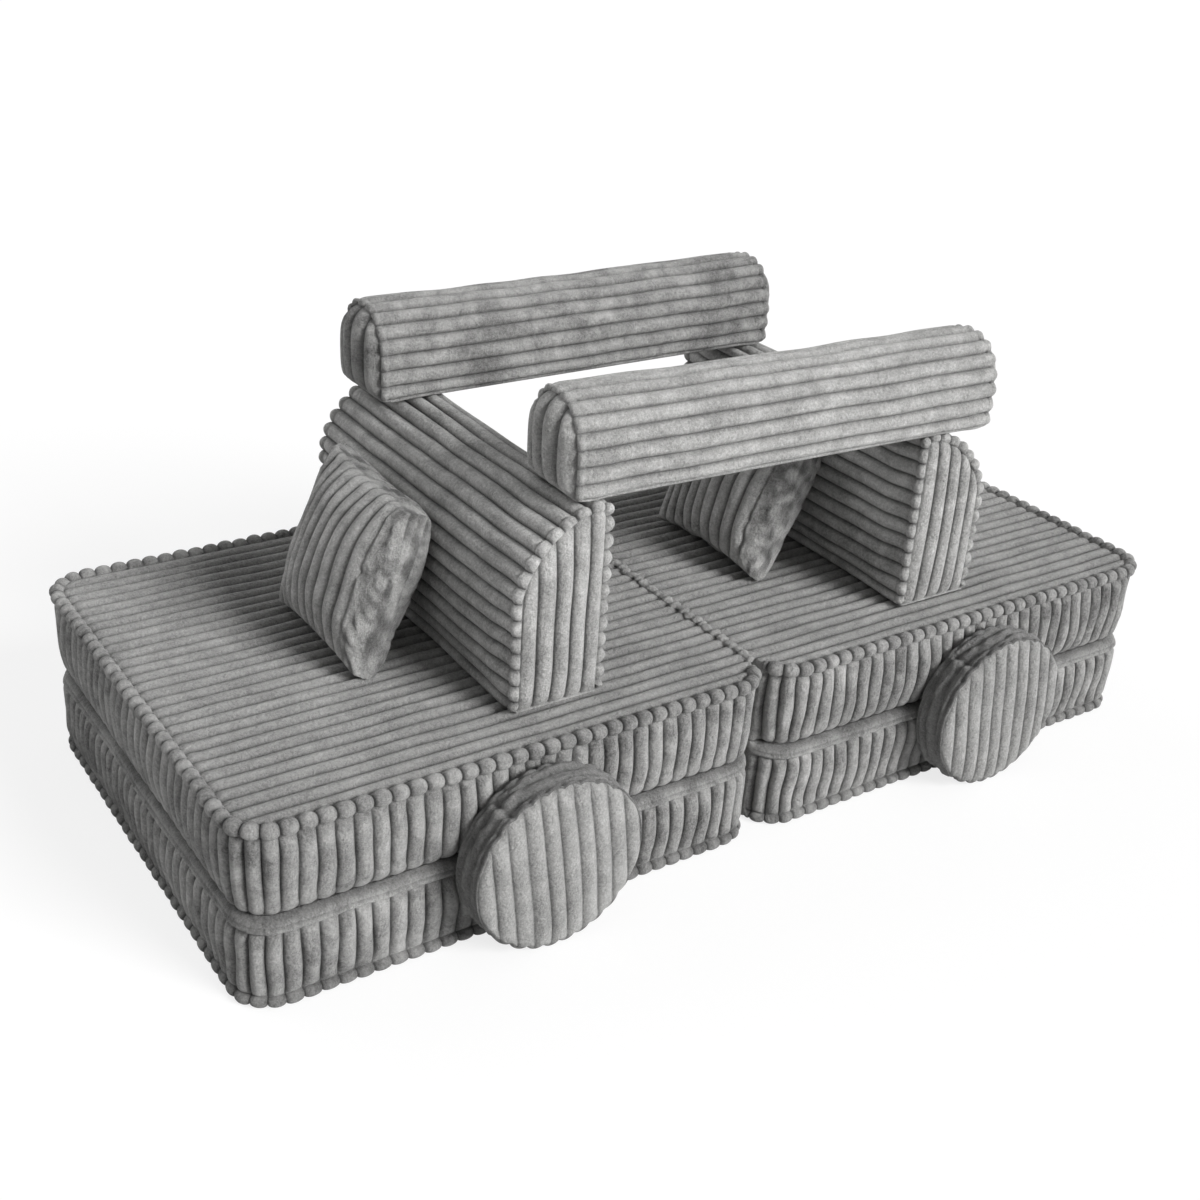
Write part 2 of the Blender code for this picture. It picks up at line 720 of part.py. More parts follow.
def pillow_mesh(inset, columns, rows, rib_depth):
    """A crowned square with pointed corners; its ribs run from the bottom to the top."""
    bm = bmesh.new()
    faces = []
    for side in (-1, 1):
        grid = []
        for index, across in enumerate(columns):
            sink = 0 if index % 2 or index in (0, len(columns) - 1) else rib_depth
            line = []
            for up in rows:
                depth = sink * (PILLOW_SEAM_RIB_SHARE if abs(up) == 1 else 1)
                line.append(bm.verts.new(pillow_point(across, up, side, inset, depth)))
            grid.append(line)
        for a, b in zip(grid, grid[1:]):
            for k in range(len(rows) - 1):
                bm.faces.new((a[k], b[k], b[k + 1], a[k + 1]))
        faces.append(grid)
    rims = []
    for grid in faces:
        rims.append([line[0] for line in grid] + grid[-1][1:-1]
                    + [line[-1] for line in reversed(grid)] + grid[0][-2:0:-1])
    join_rings(bm, rims[0], rims[1])
    return finish_form(bm)


def pillow_columns():
    ribs = max(round((PILLOW_SIDE - 2 * PILLOW_DRAW_IN) / RIB_PITCH), LEAST_RIBS)
    return [-1 + half_step / ribs for half_step in range(2 * ribs + 1)]


def reach_at(edges, height):
    """How far towards +X a set of edges reaches at a height, or None where none crosses it."""
    reach = None
    for a, b in edges:
        if (a.z - height) * (b.z - height) < 0:
            x = a.x + (height - a.z) / (b.z - a.z) * (b.x - a.x)
            reach = x if reach is None else max(reach, x)
    return reach


def pillow_seat(upright, lean):
    """Where the centre of a leaning pillow lies: its X from the wedge's centre, and its height.

    The pillow bridges the wedge's ribs, so it leans on the smooth outline over their crests.
    """
    bm = pillow_mesh(0, pillow_columns(), PILLOW_ROW_SHARES, RIB_DEPTH)
    bmesh.ops.transform(bm, matrix=Matrix.Rotation(lean, 4, "Y"), verts=bm.verts)
    centre_z = -min(v.co.z for v in bm.verts) - PILLOW_FOOT_CUT
    lift = Vector((0, 0, centre_z))
    edges = [(e.verts[0].co + lift, e.verts[1].co + lift) for e in bm.edges]
    heights = [v.co.z + centre_z for v in bm.verts]
    bm.free()
    section = wedge_outline(0, DOME_STEPS)
    heights += [z for _, z in section]
    flat = [(z, x if upright else -x) for x, z in section]
    room = []
    for height in heights:
        if FIT_GAP < height < WEDGE_HEIGHT - FIT_GAP:
            # Just beside a corner, where both surfaces are crossed
            level = height + FIT_GAP / 2
            reach = reach_at(edges, level)
            if reach is not None:
                room.append(chord(flat, level)[0] - reach)
    return min(room) - FIT_GAP, centre_z


def build_pillow(name, wedge_x, y, lean, upright, root, materials):
    """A pillow that leans to +X on a wedge's upright or curved side."""
    offset_x, centre_z = pillow_seat(upright, lean)
    frame = make_empty(name, root, (wedge_x + offset_x, y, DECK + centre_z), lean)
    turn = Matrix.Rotation(lean, 4, "Y")
    form = pillow_mesh(0, pillow_columns(), PILLOW_ROW_SHARES, RIB_DEPTH)
    # Its foot is pressed flat where it stands
    bmesh.ops.transform(form, matrix=turn, verts=form.verts)
    for vert in form.verts:
        vert.co.z = max(vert.co.z, -centre_z)
    bmesh.ops.transform(form, matrix=turn.inverted(), verts=form.verts)
    cover = make_object(name + "_cover", form, materials["plush"], frame)
    core = PILLOW_CORE_SHARES
    add_hollow(name, cover, frame, pillow_mesh(COVER_WALL, core, core, 0))
    filling = pillow_mesh(COVER_WALL + FIT_GAP, core, core, 0)
    make_object(name + "_filling", filling, materials["fibre"], frame)
    spot = (0, PILLOW_SIDE / 2 - PILLOW_DRAW_IN - COVER_WALL, 0)
    add_zip(name, cover, frame, zip_matrix(spot, (0, 0, 1), (0, 1, 0)), PILLOW_ZIP_LENGTH, materials)


def main():
    clear_scene()
    materials = {
        "plush": make_material("ribbed_plush", PLUSH_GREY, PLUSH_ROUGHNESS),
        "foam": make_material("core_foam", FOAM_CREAM, FOAM_ROUGHNESS),
        "fibre": make_material("fibre_filling", FIBRE_WHITE, FIBRE_ROUGHNESS),
        "zip": make_material("zip_tape", ZIP_GREY, ZIP_ROUGHNESS),
        "slider": make_material("zip_slider", SLIDER_GREY, SLIDER_ROUGHNESS, SLIDER_METALLIC),
    }
    root = make_empty("sofa", None, (0, ORIGIN_SHIFT, 0))
    for name, side in (("left", -1), ("right", 1)):
        build_pad("pad_lower_" + name, side, 0, False, root, materials)
        build_pad("pad_upper_" + name, side, UPPER_PAD_Z, True, root, materials)
    build_hinge_seam("hinge_seam_lower", HINGE_SEAM_RADIUS, root, materials["plush"])
    build_hinge_seam("hinge_seam_upper", STACK_TOP - HINGE_SEAM_RADIUS, root, materials["plush"])
    build_wedge("wedge_left", WEDGE_LEFT_X, WEDGE_LEFT_Y, True, root, materials)
    build_wedge("wedge_right", WEDGE_RIGHT_X, WEDGE_RIGHT_Y, False, root, materials)
    build_bar("roof_bar_front", BAR_FRONT_X, BAR_FRONT_Y, BAR_FRONT_TURN, root, materials)
    build_bar("roof_bar_back", BAR_BACK_X, BAR_BACK_Y, BAR_BACK_TURN, root, materials)
    build_pillow("pillow_left", WEDGE_LEFT_X, PILLOW_LEFT_Y, PILLOW_LEFT_LEAN, False, root,
                 materials)
    build_pillow("pillow_right", WEDGE_RIGHT_X, PILLOW_RIGHT_Y, PILLOW_RIGHT_LEAN, True, root,
                 materials)
    build_wheel("wheel_left", WHEEL_LEFT_X, root, materials)
    build_wheel("wheel_right", WHEEL_RIGHT_X, root, materials)


main()
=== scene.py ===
"""The looks of the modular play sofa: each cushion in ribbed plush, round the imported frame."""

import math

import bmesh
import bpy
import numpy as np
from mathutils import Matrix, Vector


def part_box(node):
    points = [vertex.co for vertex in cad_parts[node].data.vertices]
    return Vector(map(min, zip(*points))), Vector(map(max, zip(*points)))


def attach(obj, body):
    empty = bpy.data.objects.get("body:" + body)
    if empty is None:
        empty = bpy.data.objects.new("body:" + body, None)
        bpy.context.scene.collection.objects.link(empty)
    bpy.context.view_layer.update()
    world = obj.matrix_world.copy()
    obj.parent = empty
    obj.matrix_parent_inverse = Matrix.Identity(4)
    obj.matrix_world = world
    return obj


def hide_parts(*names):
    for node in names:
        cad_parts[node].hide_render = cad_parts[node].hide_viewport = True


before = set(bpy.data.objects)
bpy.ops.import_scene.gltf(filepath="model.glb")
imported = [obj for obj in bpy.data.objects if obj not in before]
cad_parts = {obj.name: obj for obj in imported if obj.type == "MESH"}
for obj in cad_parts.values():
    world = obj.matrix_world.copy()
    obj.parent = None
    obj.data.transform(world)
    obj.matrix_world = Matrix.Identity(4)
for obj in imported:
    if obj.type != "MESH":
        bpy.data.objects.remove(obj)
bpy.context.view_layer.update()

MM = 0.001

# The photograph's viewpoint
CAMERA_PLACE = (-1.3692, -1.8188, 1.4093)
CAMERA_YAW = 0.6186
CAMERA_PITCH = 0.4756
CAMERA_ROLL = 0.0678
CAMERA_LENS = 47.36

# Ribs of the plush
RIB_PITCH = 0.025
PLUMP = 1.2 * MM
BAND_RIB_DEPTH = 10.4 * MM
BODY_RIB_DEPTH = 9.4 * MM
END_RIB_DEPTH = 7.0 * MM
RIB_SAMPLES = 10
RIB_WANDER = 0.9 * MM
BAR_END_PITCH = 0.030
SEAM_IN = 0.6 * MM
BEAD_ROWS = 16
ROLL_ROWS = 11

# Where the covers of the frame keep their zips
SLOT_HALF_WIDTH = 8.2 * MM
SLOT_DEPTH = 10.1 * MM
CORE_GAP = 9.6 * MM
PAD_SLOT_HALF = 0.2605
WEDGE_SLOT_HALF = 0.226
BAR_SLOT_HALF = 0.286
WHEEL_SLOT_HALF = 0.087
PILLOW_SLOT_HALF = 0.087

WEDGE_WIDTH = 0.150
WEDGE_HEIGHT = 0.290
WEDGE_LENGTH = 0.610
WEDGE_SHOULDER = 0.165
WEDGE_TOP_FLAT = 0.004
WEDGE_TOP_RADIUS = 0.018
WEDGE_DOME = 1.72
WEDGE_BOTTOM_RADIUS = 0.013

BAR_WIDTH = 0.140
BAR_HEIGHT = 0.143
BAR_LENGTH = 0.745
BAR_SIDE_HEIGHT = 0.045
BAR_BOTTOM_RADIUS = 0.014
BAR_DOME = 2.35
BAR_FRONT_TURN = math.radians(-2.5)

PAD_LENGTH = 0.820
PAD_DEPTH = 0.767
PAD_THICKNESS = 0.140
PAD_RADIUS = 0.060
PAD_LOW, PAD_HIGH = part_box("pad_upper_right_foam")
PAD_CENTRE_X = (PAD_LOW.x + PAD_HIGH.x) / 2
PAD_CENTRE_Y = (PAD_LOW.y + PAD_HIGH.y) / 2

PILLOW_SIDE = 0.255
PILLOW_THICKNESS = 0.140
PILLOW_EDGE = 0.034
PILLOW_DRAW_IN = 0.007
PILLOW_LEFT_LEAN = math.radians(22.0)
PILLOW_RIGHT_LEAN = math.radians(27.0)

WHEEL_DIAMETER = 0.262
WHEEL_THICKNESS = 0.066
WHEEL_RIB_TILT = math.radians(7.0)
WHEEL_JOIN_TURN = math.radians(128)
WHEEL_COLUMNS = 300
WHEEL_ROLLS = 3
WHEEL_ROLL_DEPTH = 5.5 * MM
WHEEL_NOTCH_DEPTH = 5.4 * MM
WHEEL_EDGE_ROWS = 6

# The cloth that blows up the plain covers
CLOTH_FACE = 0.028
CLOTH_FRAMES = 20
CLOTH = {"quality": 6, "mass": 0.3, "tension_stiffness": 12, "compression_stiffness": 12,
         "shear_stiffness": 6, "bending_stiffness": 0.6, "use_pressure": True,
         "uniform_pressure_force": 4, "pin_stiffness": 1.0}


def fields(*parts):
    """Puts numbers or arrays together as the parts of one array of vectors."""
    return np.stack(np.broadcast_arrays(*parts), axis=-1)


def rows_of(values, count):
    return np.repeat(values[None, :], count, axis=0)


# Smooth irregularity, the same on every run

def drift(points, size, seed, waves=8):
    """A smooth field of about -1 to 1, whose swells are about the given size across."""
    rng = np.random.default_rng(seed)
    points = np.asarray(points, float)
    total = np.zeros(points.shape[:-1])
    for _ in range(waves):
        way = rng.normal(size=points.shape[-1])
        way *= 2 * math.pi / (size * rng.uniform(0.7, 1.6) * np.linalg.norm(way))
        total += np.sin(points @ way + rng.uniform(0, 2 * math.pi))
    return total / math.sqrt(waves)


def smooth(share):
    share = np.clip(share, 0.0, 1.0)
    return share * share * (3 - 2 * share)


# Outlines

def arc(centre, radius, start, end, steps):
    turns = np.linspace(start, end, steps + 1)
    return [(centre[0] + radius * math.cos(t), centre[1] + radius * math.sin(t)) for t in turns]


def on_base(half, low, hump):
    """A section with a flat base, two small arcs at its corners and the given hump."""
    right, left = (half - low, low), (-half + low, low)
    return (arc(right, low, -math.pi / 2, 0, 8) + hump
            + arc(left, low, math.pi, 3 * math.pi / 2, 8))


def dome(centre, half_width, rise, power, start, end, steps):
    """An arc that is blunter than an ellipse when its power is above 2, and leaner below."""
    points = []
    for turn in np.linspace(start, end, steps + 1):
        c, s = math.cos(turn), math.sin(turn)
        across = math.copysign(abs(c) ** (2 / power), c)
        points.append((centre[0] + half_width * across, centre[1] + rise * abs(s) ** (2 / power)))
    return points


def pad_outline():
    """Half of a mattress from above, with its joined edge at -X."""
    half_l, half_d, quarter = PAD_LENGTH / 2, PAD_DEPTH / 2, math.pi / 2
    points = []
    for turn, sx, sy in ((2, -1, -1), (3, 1, -1), (0, 1, 1), (1, -1, 1)):
        centre = (sx * (half_l - PAD_RADIUS), sy * (half_d - PAD_RADIUS))
        points += arc(centre, PAD_RADIUS, turn * quarter, (turn + 1) * quarter, 24)
    return points


def wedge_outline():
    """A backrest's end, with its upright side at -X."""
    half = WEDGE_WIDTH / 2
    crown_x = -half + WEDGE_TOP_RADIUS + WEDGE_TOP_FLAT
    hump = dome((crown_x, WEDGE_SHOULDER), half - crown_x, WEDGE_HEIGHT - WEDGE_SHOULDER,
                WEDGE_DOME, 0, math.pi / 2, 60)
    corner = arc((-half + WEDGE_TOP_RADIUS, WEDGE_HEIGHT - WEDGE_TOP_RADIUS), WEDGE_TOP_RADIUS,
                 math.pi / 2, math.pi, 10)
    return on_base(half, WEDGE_BOTTOM_RADIUS, hump + corner)


def bar_outline():
    half = BAR_WIDTH / 2
    rise = BAR_HEIGHT - BAR_SIDE_HEIGHT
    hump = dome((0, BAR_SIDE_HEIGHT), half, rise, BAR_DOME, 0, math.pi, 90)
    return on_base(half, BAR_BOTTOM_RADIUS, hump)


def wheel_outline():
    return arc((0, 0), WHEEL_DIAMETER / 2, 0, 2 * math.pi, 180)[:-1]


class Outline:
    """A closed outline, counter-clockwise, read by its length."""

    def __init__(self, points, spacing=3 * MM):
        corners = np.array(points)
        ahead = np.roll(corners, -1, axis=0)
        fine = []
        for a, b in zip(corners, ahead):
            count = max(int(math.ceil(np.linalg.norm(b - a) / spacing)), 1)
            fine += [a + (b - a) * k / count for k in range(count)]
        self.points = np.array(fine)
        steps = np.roll(self.points, -1, axis=0) - self.points
        lengths = np.linalg.norm(steps, axis=1)
        edge = np.column_stack((steps[:, 1], -steps[:, 0])) / lengths[:, None]
        normals = edge + np.roll(edge, 1, axis=0)
        self.normals = normals / np.linalg.norm(normals, axis=1)[:, None]
        self.reach = np.concatenate(([0.0], np.cumsum(lengths)))
        self.length = float(self.reach[-1])

    def read(self, values, s):
        closed = np.vstack((values, values[:1]))
        return np.column_stack([np.interp(s, self.reach, closed[:, k]) for k in range(2)])

    def at(self, s):
        s = np.mod(s, self.length)
        normals = self.read(self.normals, s)
        return self.read(self.points, s), normals / np.linalg.norm(normals, axis=1)[:, None]


def chords(polygon, across):
    """Where lines of constant first value enter and leave a convex polygon."""
    a, b = polygon, np.roll(polygon, -1, axis=0)
    low, high = np.empty(len(across)), np.empty(len(across))
    for i, x in enumerate(across):
        hit = (a[:, 0] - x) * (b[:, 0] - x) <= 0
        hit &= np.abs(b[:, 0] - a[:, 0]) > 1e-9
        share = (x - a[hit, 0]) / (b[hit, 0] - a[hit, 0])
        along = a[hit, 1] + share * (b[hit, 1] - a[hit, 1])
        low[i], high[i] = along.min(), along.max()
    return low, high


# Ribs

def rib_profile(x):
    """How full a rib is at x, from -1 to 1 across it."""
    return (1 - np.abs(x) ** 1.9) ** 0.7


def rib_full(places):
    """How full the ribs are at places that are counted in ribs."""
    return rib_profile(2 * (places - np.floor(places)) - 1)


def rib_columns(ribs, closed):
    """Places across a row of ribs, in ribs, closest in the valleys, and how full each is there."""
    x = np.sin(np.linspace(-1, 1, RIB_SAMPLES + 1)[:-1] * math.pi / 2)
    places = (np.arange(ribs)[:, None] + (x + 1) / 2).ravel()
    full = np.tile(rib_profile(x), ribs)
    if not closed:
        places, full = np.append(places, ribs), np.append(full, 0.0)
    return places, full


class Cover:
    """Panels of one cushion, sewn into one closed skin."""

    def __init__(self):
        self.points, self.faces, self.full, self.grain, self.brushed = [], [], [], [], []
        self.count = 0

    def panel(self, grid, full, grain, closed=False, brushed=1.0):
        """Adds a grid of points, with its looks, and gives their numbers."""
        m, n = grid.shape[:2]
        index = np.arange(m * n).reshape(m, n) + self.count
        rows = np.vstack((index, index[:1])) if closed else index
        quads = np.stack((rows[:-1, :-1], rows[1:, :-1], rows[1:, 1:], rows[:-1, 1:]), axis=-1)
        self.faces += quads.reshape(-1, 4).tolist()
        self.points.append(grid.reshape(-1, 3))
        self.full.append(np.broadcast_to(full, (m, n)).ravel())
        self.grain.append(grain.reshape(-1, 3))
        self.brushed.append(np.full(m * n, brushed))
        self.count += m * n
        return index

    def sew(self, first, second):
        """Joins two loops of points that run round the same middle, seen along the third axis."""
        points = np.vstack(self.points)
        centre = points[second, :2].mean(axis=0)

        def turns(loop):
            flat = points[loop, :2] - centre
            ahead = np.roll(flat, -1, axis=0)
            if (flat[:, 0] * ahead[:, 1] - flat[:, 1] * ahead[:, 0]).sum() < 0:
                loop, flat = loop[::-1], flat[::-1]
            angles = np.arctan2(flat[:, 1], flat[:, 0]) % (2 * math.pi)
            start = int(np.argmin(angles))
            loop, angles = np.roll(loop, -start), np.roll(angles, -start)
            angles = np.maximum.accumulate(np.unwrap(angles))
            return np.append(loop, loop[0]).tolist(), np.append(angles, angles[0] + 2 * math.pi)

        outer, outer_turns = turns(np.asarray(first))
        inner, inner_turns = turns(np.asarray(second))
        i = j = 0
        while i < len(outer) - 1 or j < len(inner) - 1:
            step = i < len(outer) - 1
            if step and j < len(inner) - 1:
                step = outer_turns[i + 1] <= inner_turns[j + 1]
            if step:
                self.faces.append((outer[i], outer[i + 1], inner[j]))
                i += 1
            else:
                self.faces.append((outer[i], inner[j + 1], inner[j]))
                j += 1

    def bridge(self, first, second):
        """Joins two loops of as many points, one by one."""
        quads = (first, np.roll(first, -1), np.roll(second, -1), second)
        self.faces += np.stack(quads, axis=-1).tolist()

    def mesh(self, name, matrix=None):
        mesh = bpy.data.meshes.new(name)
        mesh.from_pydata(np.vstack(self.points).tolist(), [], self.faces)
        if matrix is not None:
            mesh.transform(matrix)
        # The full attribute is the plush's painted shade: low in rib valleys, creases and gaps,
        # which the material darkens.
        for key, kind, value, looks in (("full", "FLOAT", "value", self.full),
                                        ("brushed", "FLOAT", "value", self.brushed),
                                        ("grain", "FLOAT_VECTOR", "vector", self.grain)):
            layer = mesh.attributes.new(key, kind, "POINT")
            layer.data.foreach_set(value, np.concatenate(looks).astype(np.float32).ravel())
        bm = bmesh.new()
        bm.from_mesh(mesh)
        bmesh.ops.recalc_face_normals(bm, faces=bm.faces)
        bm.to_mesh(mesh)
        bm.free()
        mesh.shade_smooth()
        return mesh


def border(index):
    """The loop of points round an open panel."""
    return np.concatenate((index[0, :], index[1:, -1], index[-1, -2::-1], index[-2:0:-1, 0]))


# Cloth: a plain cover with few faces is blown up, and its swelling is read onto the ribbed one

def cubic_weights(t):
    return (((-t + 2) * t - 1) * t / 2, ((3 * t - 5) * t * t + 2) / 2,
            ((-3 * t + 4) * t + 1) * t / 2, (t - 1) * t * t / 2)


def read_grid(grid, u, v, closed):
    """Reads a grid of vectors smoothly, at shares u down its rows and v along its columns."""
    m, n = grid.shape[:2]
    u, v = np.broadcast_arrays(u, v)
    x = u * (m if closed else m - 1)
    y = v * (n - 1)
    i, j = np.floor(x).astype(int), np.floor(y).astype(int)
    total = np.zeros(u.shape + (3,))
    for di, wi in zip(range(-1, 3), cubic_weights(x - i)):
        row = (i + di) % m if closed else np.clip(i + di, 0, m - 1)
        for dj, wj in zip(range(-1, 3), cubic_weights(y - j)):
            total += (wi * wj)[..., None] * grid[row, np.clip(j + dj, 0, n - 1)]
    return total


def blow_up(cover, held, limit):
    """How far each point of a cover moves when cloth under pressure fills it."""
    rest = np.vstack(cover.points)
    obj = bpy.data.objects.new("plain_cover", cover.mesh("plain_cover"))
    bpy.context.scene.collection.objects.link(obj)
    group = obj.vertex_groups.new(name="held")
    group.add(np.flatnonzero(held).tolist(), 1.0, "REPLACE")
    cloth = obj.modifiers.new("cloth", "CLOTH")
    for key, value in CLOTH.items():
        setattr(cloth.settings, key, value)
    cloth.settings.effector_weights.gravity = 0
    cloth.settings.vertex_group_mass = "held"
    cloth.point_cache.frame_start = 1
    cloth.point_cache.frame_end = CLOTH_FRAMES
    for number in range(1, CLOTH_FRAMES + 1):
        bpy.context.scene.frame_set(number)
    moved = obj.evaluated_get(bpy.context.evaluated_depsgraph_get()).data
    co = np.empty(rest.size)
    moved.vertices.foreach_get("co", co)
    bpy.context.scene.frame_set(1)
    bpy.data.objects.remove(obj)
    shift = co.reshape(-1, 3) - rest
    size = np.linalg.norm(shift, axis=1)[:, None] + 1e-9
    return shift * limit * np.tanh(size / limit) / size


# Panels

def cap_rows(low, high, spacing):
    """Rows of points on lines across a panel, closer together near its seam."""
    near = np.array((0.0, 1.2, 3.0, 5.5, 9.0, 14.0)) * MM
    span = (high - low)[:, None]
    scale = np.minimum(1.0, span / (70 * MM))
    start = low[:, None] + near * scale
    end = high[:, None] - near[::-1] * scale
    steps = max(int(np.max(span) / spacing), 4)
    inner = np.linspace(0, 1, steps + 1)[1:-1]
    middle = start[:, -1:] + inner * (end[:, :1] - start[:, -1:])
    return np.hstack((start, middle, end))


def cap(cover, polygon, swell, seed, *, sign, level, pitch, spacing, depth, edge, dip, deeper=0.0,
        crown=0.0, uneven=0.8 * MM, soft=1.0, faint=0.0, brushed=1.0, turned=False, tilt=0.0,
        level_from=None, slot=None):
    """A ribbed panel that fills a polygon in its section's plane. Gives its border.

    It faces the way of its sign, dips over its edge to the seam, except past level_from on the
    joined side, and swells to its crown. Its ribs get deeper away from the seam, and run along
    the first axis when turned. A slot gives half the length and width of a zip's opening.
    """
    turn = np.array(((math.cos(tilt), -math.sin(tilt)), (math.sin(tilt), math.cos(tilt))))
    flat = polygon @ turn
    if turned:
        flat = flat[:, ::-1]
    a_low, a_high = flat[:, 0].min(), flat[:, 0].max()
    ribs = max(round((a_high - a_low) / pitch), 3)
    places, full = rib_columns(ribs, False)
    across = a_low + SEAM_IN + places / ribs * (a_high - a_low - 2 * SEAM_IN)
    low, high = chords(flat, across)
    along = cap_rows(low, high, spacing)
    a = across[:, None]
    near = np.minimum(np.minimum(along - low[:, None], high[:, None] - along),
                      np.minimum(a - a_low, a_high - a))
    round_off = 1 - np.sqrt(1 - (1 - np.clip(near / edge, 0, 1)) ** 2 * 0.999)
    settle = smooth(near / (3 * edge))
    u = (a - a_low) / (a_high - a_low)
    v = (along - low[:, None]) / np.maximum(high - low, 1 * MM)[:, None]
    plane = fields(a, along)
    full = (full ** soft)[:, None] * (0.75 + 0.25 * smooth(near / edge))
    number = np.floor(places - 1e-9)[:, None]
    fat = drift(fields(number * 0.4, along * 3), 1.6, seed + 1)
    if level_from is not None:
        dip = dip * (1 - smooth((-(along if turned else a) - level_from) / (10 * MM)))
    depth = (depth + deeper * settle) * (1 + 0.10 * fat)
    height = -dip * round_off - depth * (1 - full) + 0.4 * MM * fat
    height += crown * (1 - (2 * u - 1) ** 2) * (1 - (2 * v - 1) ** 4)
    height += uneven * drift(plane, 0.16, seed + 2) * settle
    a = a + RIB_WANDER * drift(plane * (1, 0.6), 0.09, seed + 3) * settle
    pair = fields(along, a) if turned else fields(a, along)
    pair = pair @ turn.T
    moved = read_grid(swell, u, v, False)
    if slot is not None:
        inside = (np.abs(pair[..., 0]) < slot[0]) & (np.abs(pair[..., 1]) < slot[1])
        height = np.where(inside, -SLOT_DEPTH, height)
        moved = np.where(inside[..., None], 0, moved)
    grid = np.dstack((pair, level + sign * height)) + moved
    grain = fields(a, along, number + 0.1 * seed)
    # The ribs' valleys carry painted shade in the full attribute, made fainter by faint.
    return border(cover.panel(grid, faint + (1 - faint) * full, grain, brushed=brushed))


def plain_cap(cover, polygon, level, turned):
    """The same panel with few faces, for the cloth."""
    flat = polygon[:, ::-1] if turned else polygon
    a_low, a_high = flat[:, 0].min(), flat[:, 0].max()
    count = max(int((a_high - a_low) / CLOTH_FACE), 6)
    margin = 1.0 * MM
    across = a_low + margin + np.linspace(0, 1, count + 1) * (a_high - a_low - 2 * margin)
    low, high = chords(flat, across)
    steps = max(int((high - low).max() / CLOTH_FACE), 6)
    along = low[:, None] + np.linspace(0, 1, steps + 1) * (high - low)[:, None]
    a = across[:, None]
    grid = fields(along, a, level) if turned else fields(a, along, level)
    return cover.panel(grid, 0, np.zeros(grid.shape))


def strip(outline, s, out, rise):
    """A band round an outline: out and rise say how far each point stands out, and how high.

    Gives its points, and the outline's own points and normals under them.
    """
    pair = out.shape + (2,)
    points, normals = (x.reshape(pair) for x in outline.at(np.broadcast_to(s, out.shape).ravel()))
    return np.dstack((points + normals * out[..., None], rise)), points, normals


def clear_core(grid, points, normals, rise, height):
    """Keeps a band outside the foam core, which lies a little inside it all round."""
    out = ((grid[..., :2] - points) * normals).sum(axis=-1)
    beside = (rise > CORE_GAP) & (rise < height - CORE_GAP)
    short = np.where(beside, np.maximum(-CORE_GAP - out, 0), 0)
    grid[..., :2] += normals * short[..., None]


def read_band(swell, outline, s, rise, height):
    """The swelling of a plain band, read at the points of a ribbed one."""
    return read_grid(swell[0], (s / outline.length)[:, None], np.clip(rise / height, 0, 1), True)


def swell_of(outline, height, insets, held_at, limit, turned=False):
    """Blows up a plain cushion, and gives the swelling of its band and its two panels."""
    cover = Cover()
    count = max(int(outline.length / CLOTH_FACE), 24)
    rows = max(int(height / CLOTH_FACE), 4)
    s = np.arange(count) * outline.length / count
    rise = rows_of(np.linspace(0, 1, rows + 1) * height, count)
    out = np.zeros(rise.shape)
    out[:, 0], out[:, -1] = -insets[0], -insets[1]
    grid = strip(outline, s[:, None], out, rise)[0]
    band = cover.panel(grid, 0, np.zeros(grid.shape), closed=True)
    caps = []
    for column, level in ((0, 0.0), (-1, height)):
        polygon = grid[:, column, :2]
        inner = polygon * (1 - 2 * MM / np.abs(polygon).max())
        caps.append(plain_cap(cover, inner, level, turned))
        cover.sew(band[:, column], border(caps[-1]))
    held = held_at(np.vstack(cover.points))
    for loop in (band[:, 0], band[:, -1], border(caps[0]), border(caps[1])):
        held[loop] = True
    shift = blow_up(cover, held, limit)
    return shift[band], shift[caps[0]], shift[caps[1]]


# Edges, from the band to the seam. Their paths are in millimetres from the outline and the end.

def between(valley, crest, full):
    """Blends an edge's path in a rib's valley with the path over its crest."""
    flat = np.array(valley)
    reach = np.concatenate(([0], np.cumsum(np.linalg.norm(np.diff(flat, axis=0), axis=1))))
    places = np.linspace(0, 1, crest.shape[-2]) * reach[-1]
    low = np.column_stack([np.interp(places, reach, flat[:, k]) for k in range(2)])
    path = (low + (crest - low) * full[:, None, None]) * MM
    return path[..., 0], path[..., 1]


def curl(centre, radius, start, end, steps):
    """An arc for each column, whose radius may differ."""
    turns = np.radians(np.linspace(start, end, steps + 1))
    radius = np.asarray(radius)[:, None]
    return fields(centre[0] + radius * np.cos(turns), centre[1] + radius * np.sin(turns))


def lead_in(full, depth, pinches):
    """The last stretch of a rib before its edge, where its crest draws in."""
    pinch, rise = np.array(pinches).T * MM
    full = full[:, None]
    return -depth * (1 - full) - pinch * full, rows_of(rise, len(full))


def bead_edge(full, size, depth, proud):
    """Each rib of the band pinches in, and curls over the seam as a round bead."""
    radius = 11.2 if proud else 8.0
    middle = (5.4 - radius, 4.2 - radius) if proud else (1.4 - radius, -radius)
    crest = curl(middle, radius * size, -108, 142, 14)
    hollow = curl((-7.6, middle[1] - 1.2), (4.0,), -108, 142, 14)
    lift = 0.0 if proud else 3.5
    lead = lead_in(full, depth, ((0.0, lift - 38), (0.3, lift - 31), (1.6, lift - 26),
                                 (4.4, lift - 22.4), (8.0, lift - 19.6)))
    return lead, between(hollow[0], crest, full ** 0.62), (-15.2, -2.6 if proud else -5.0)


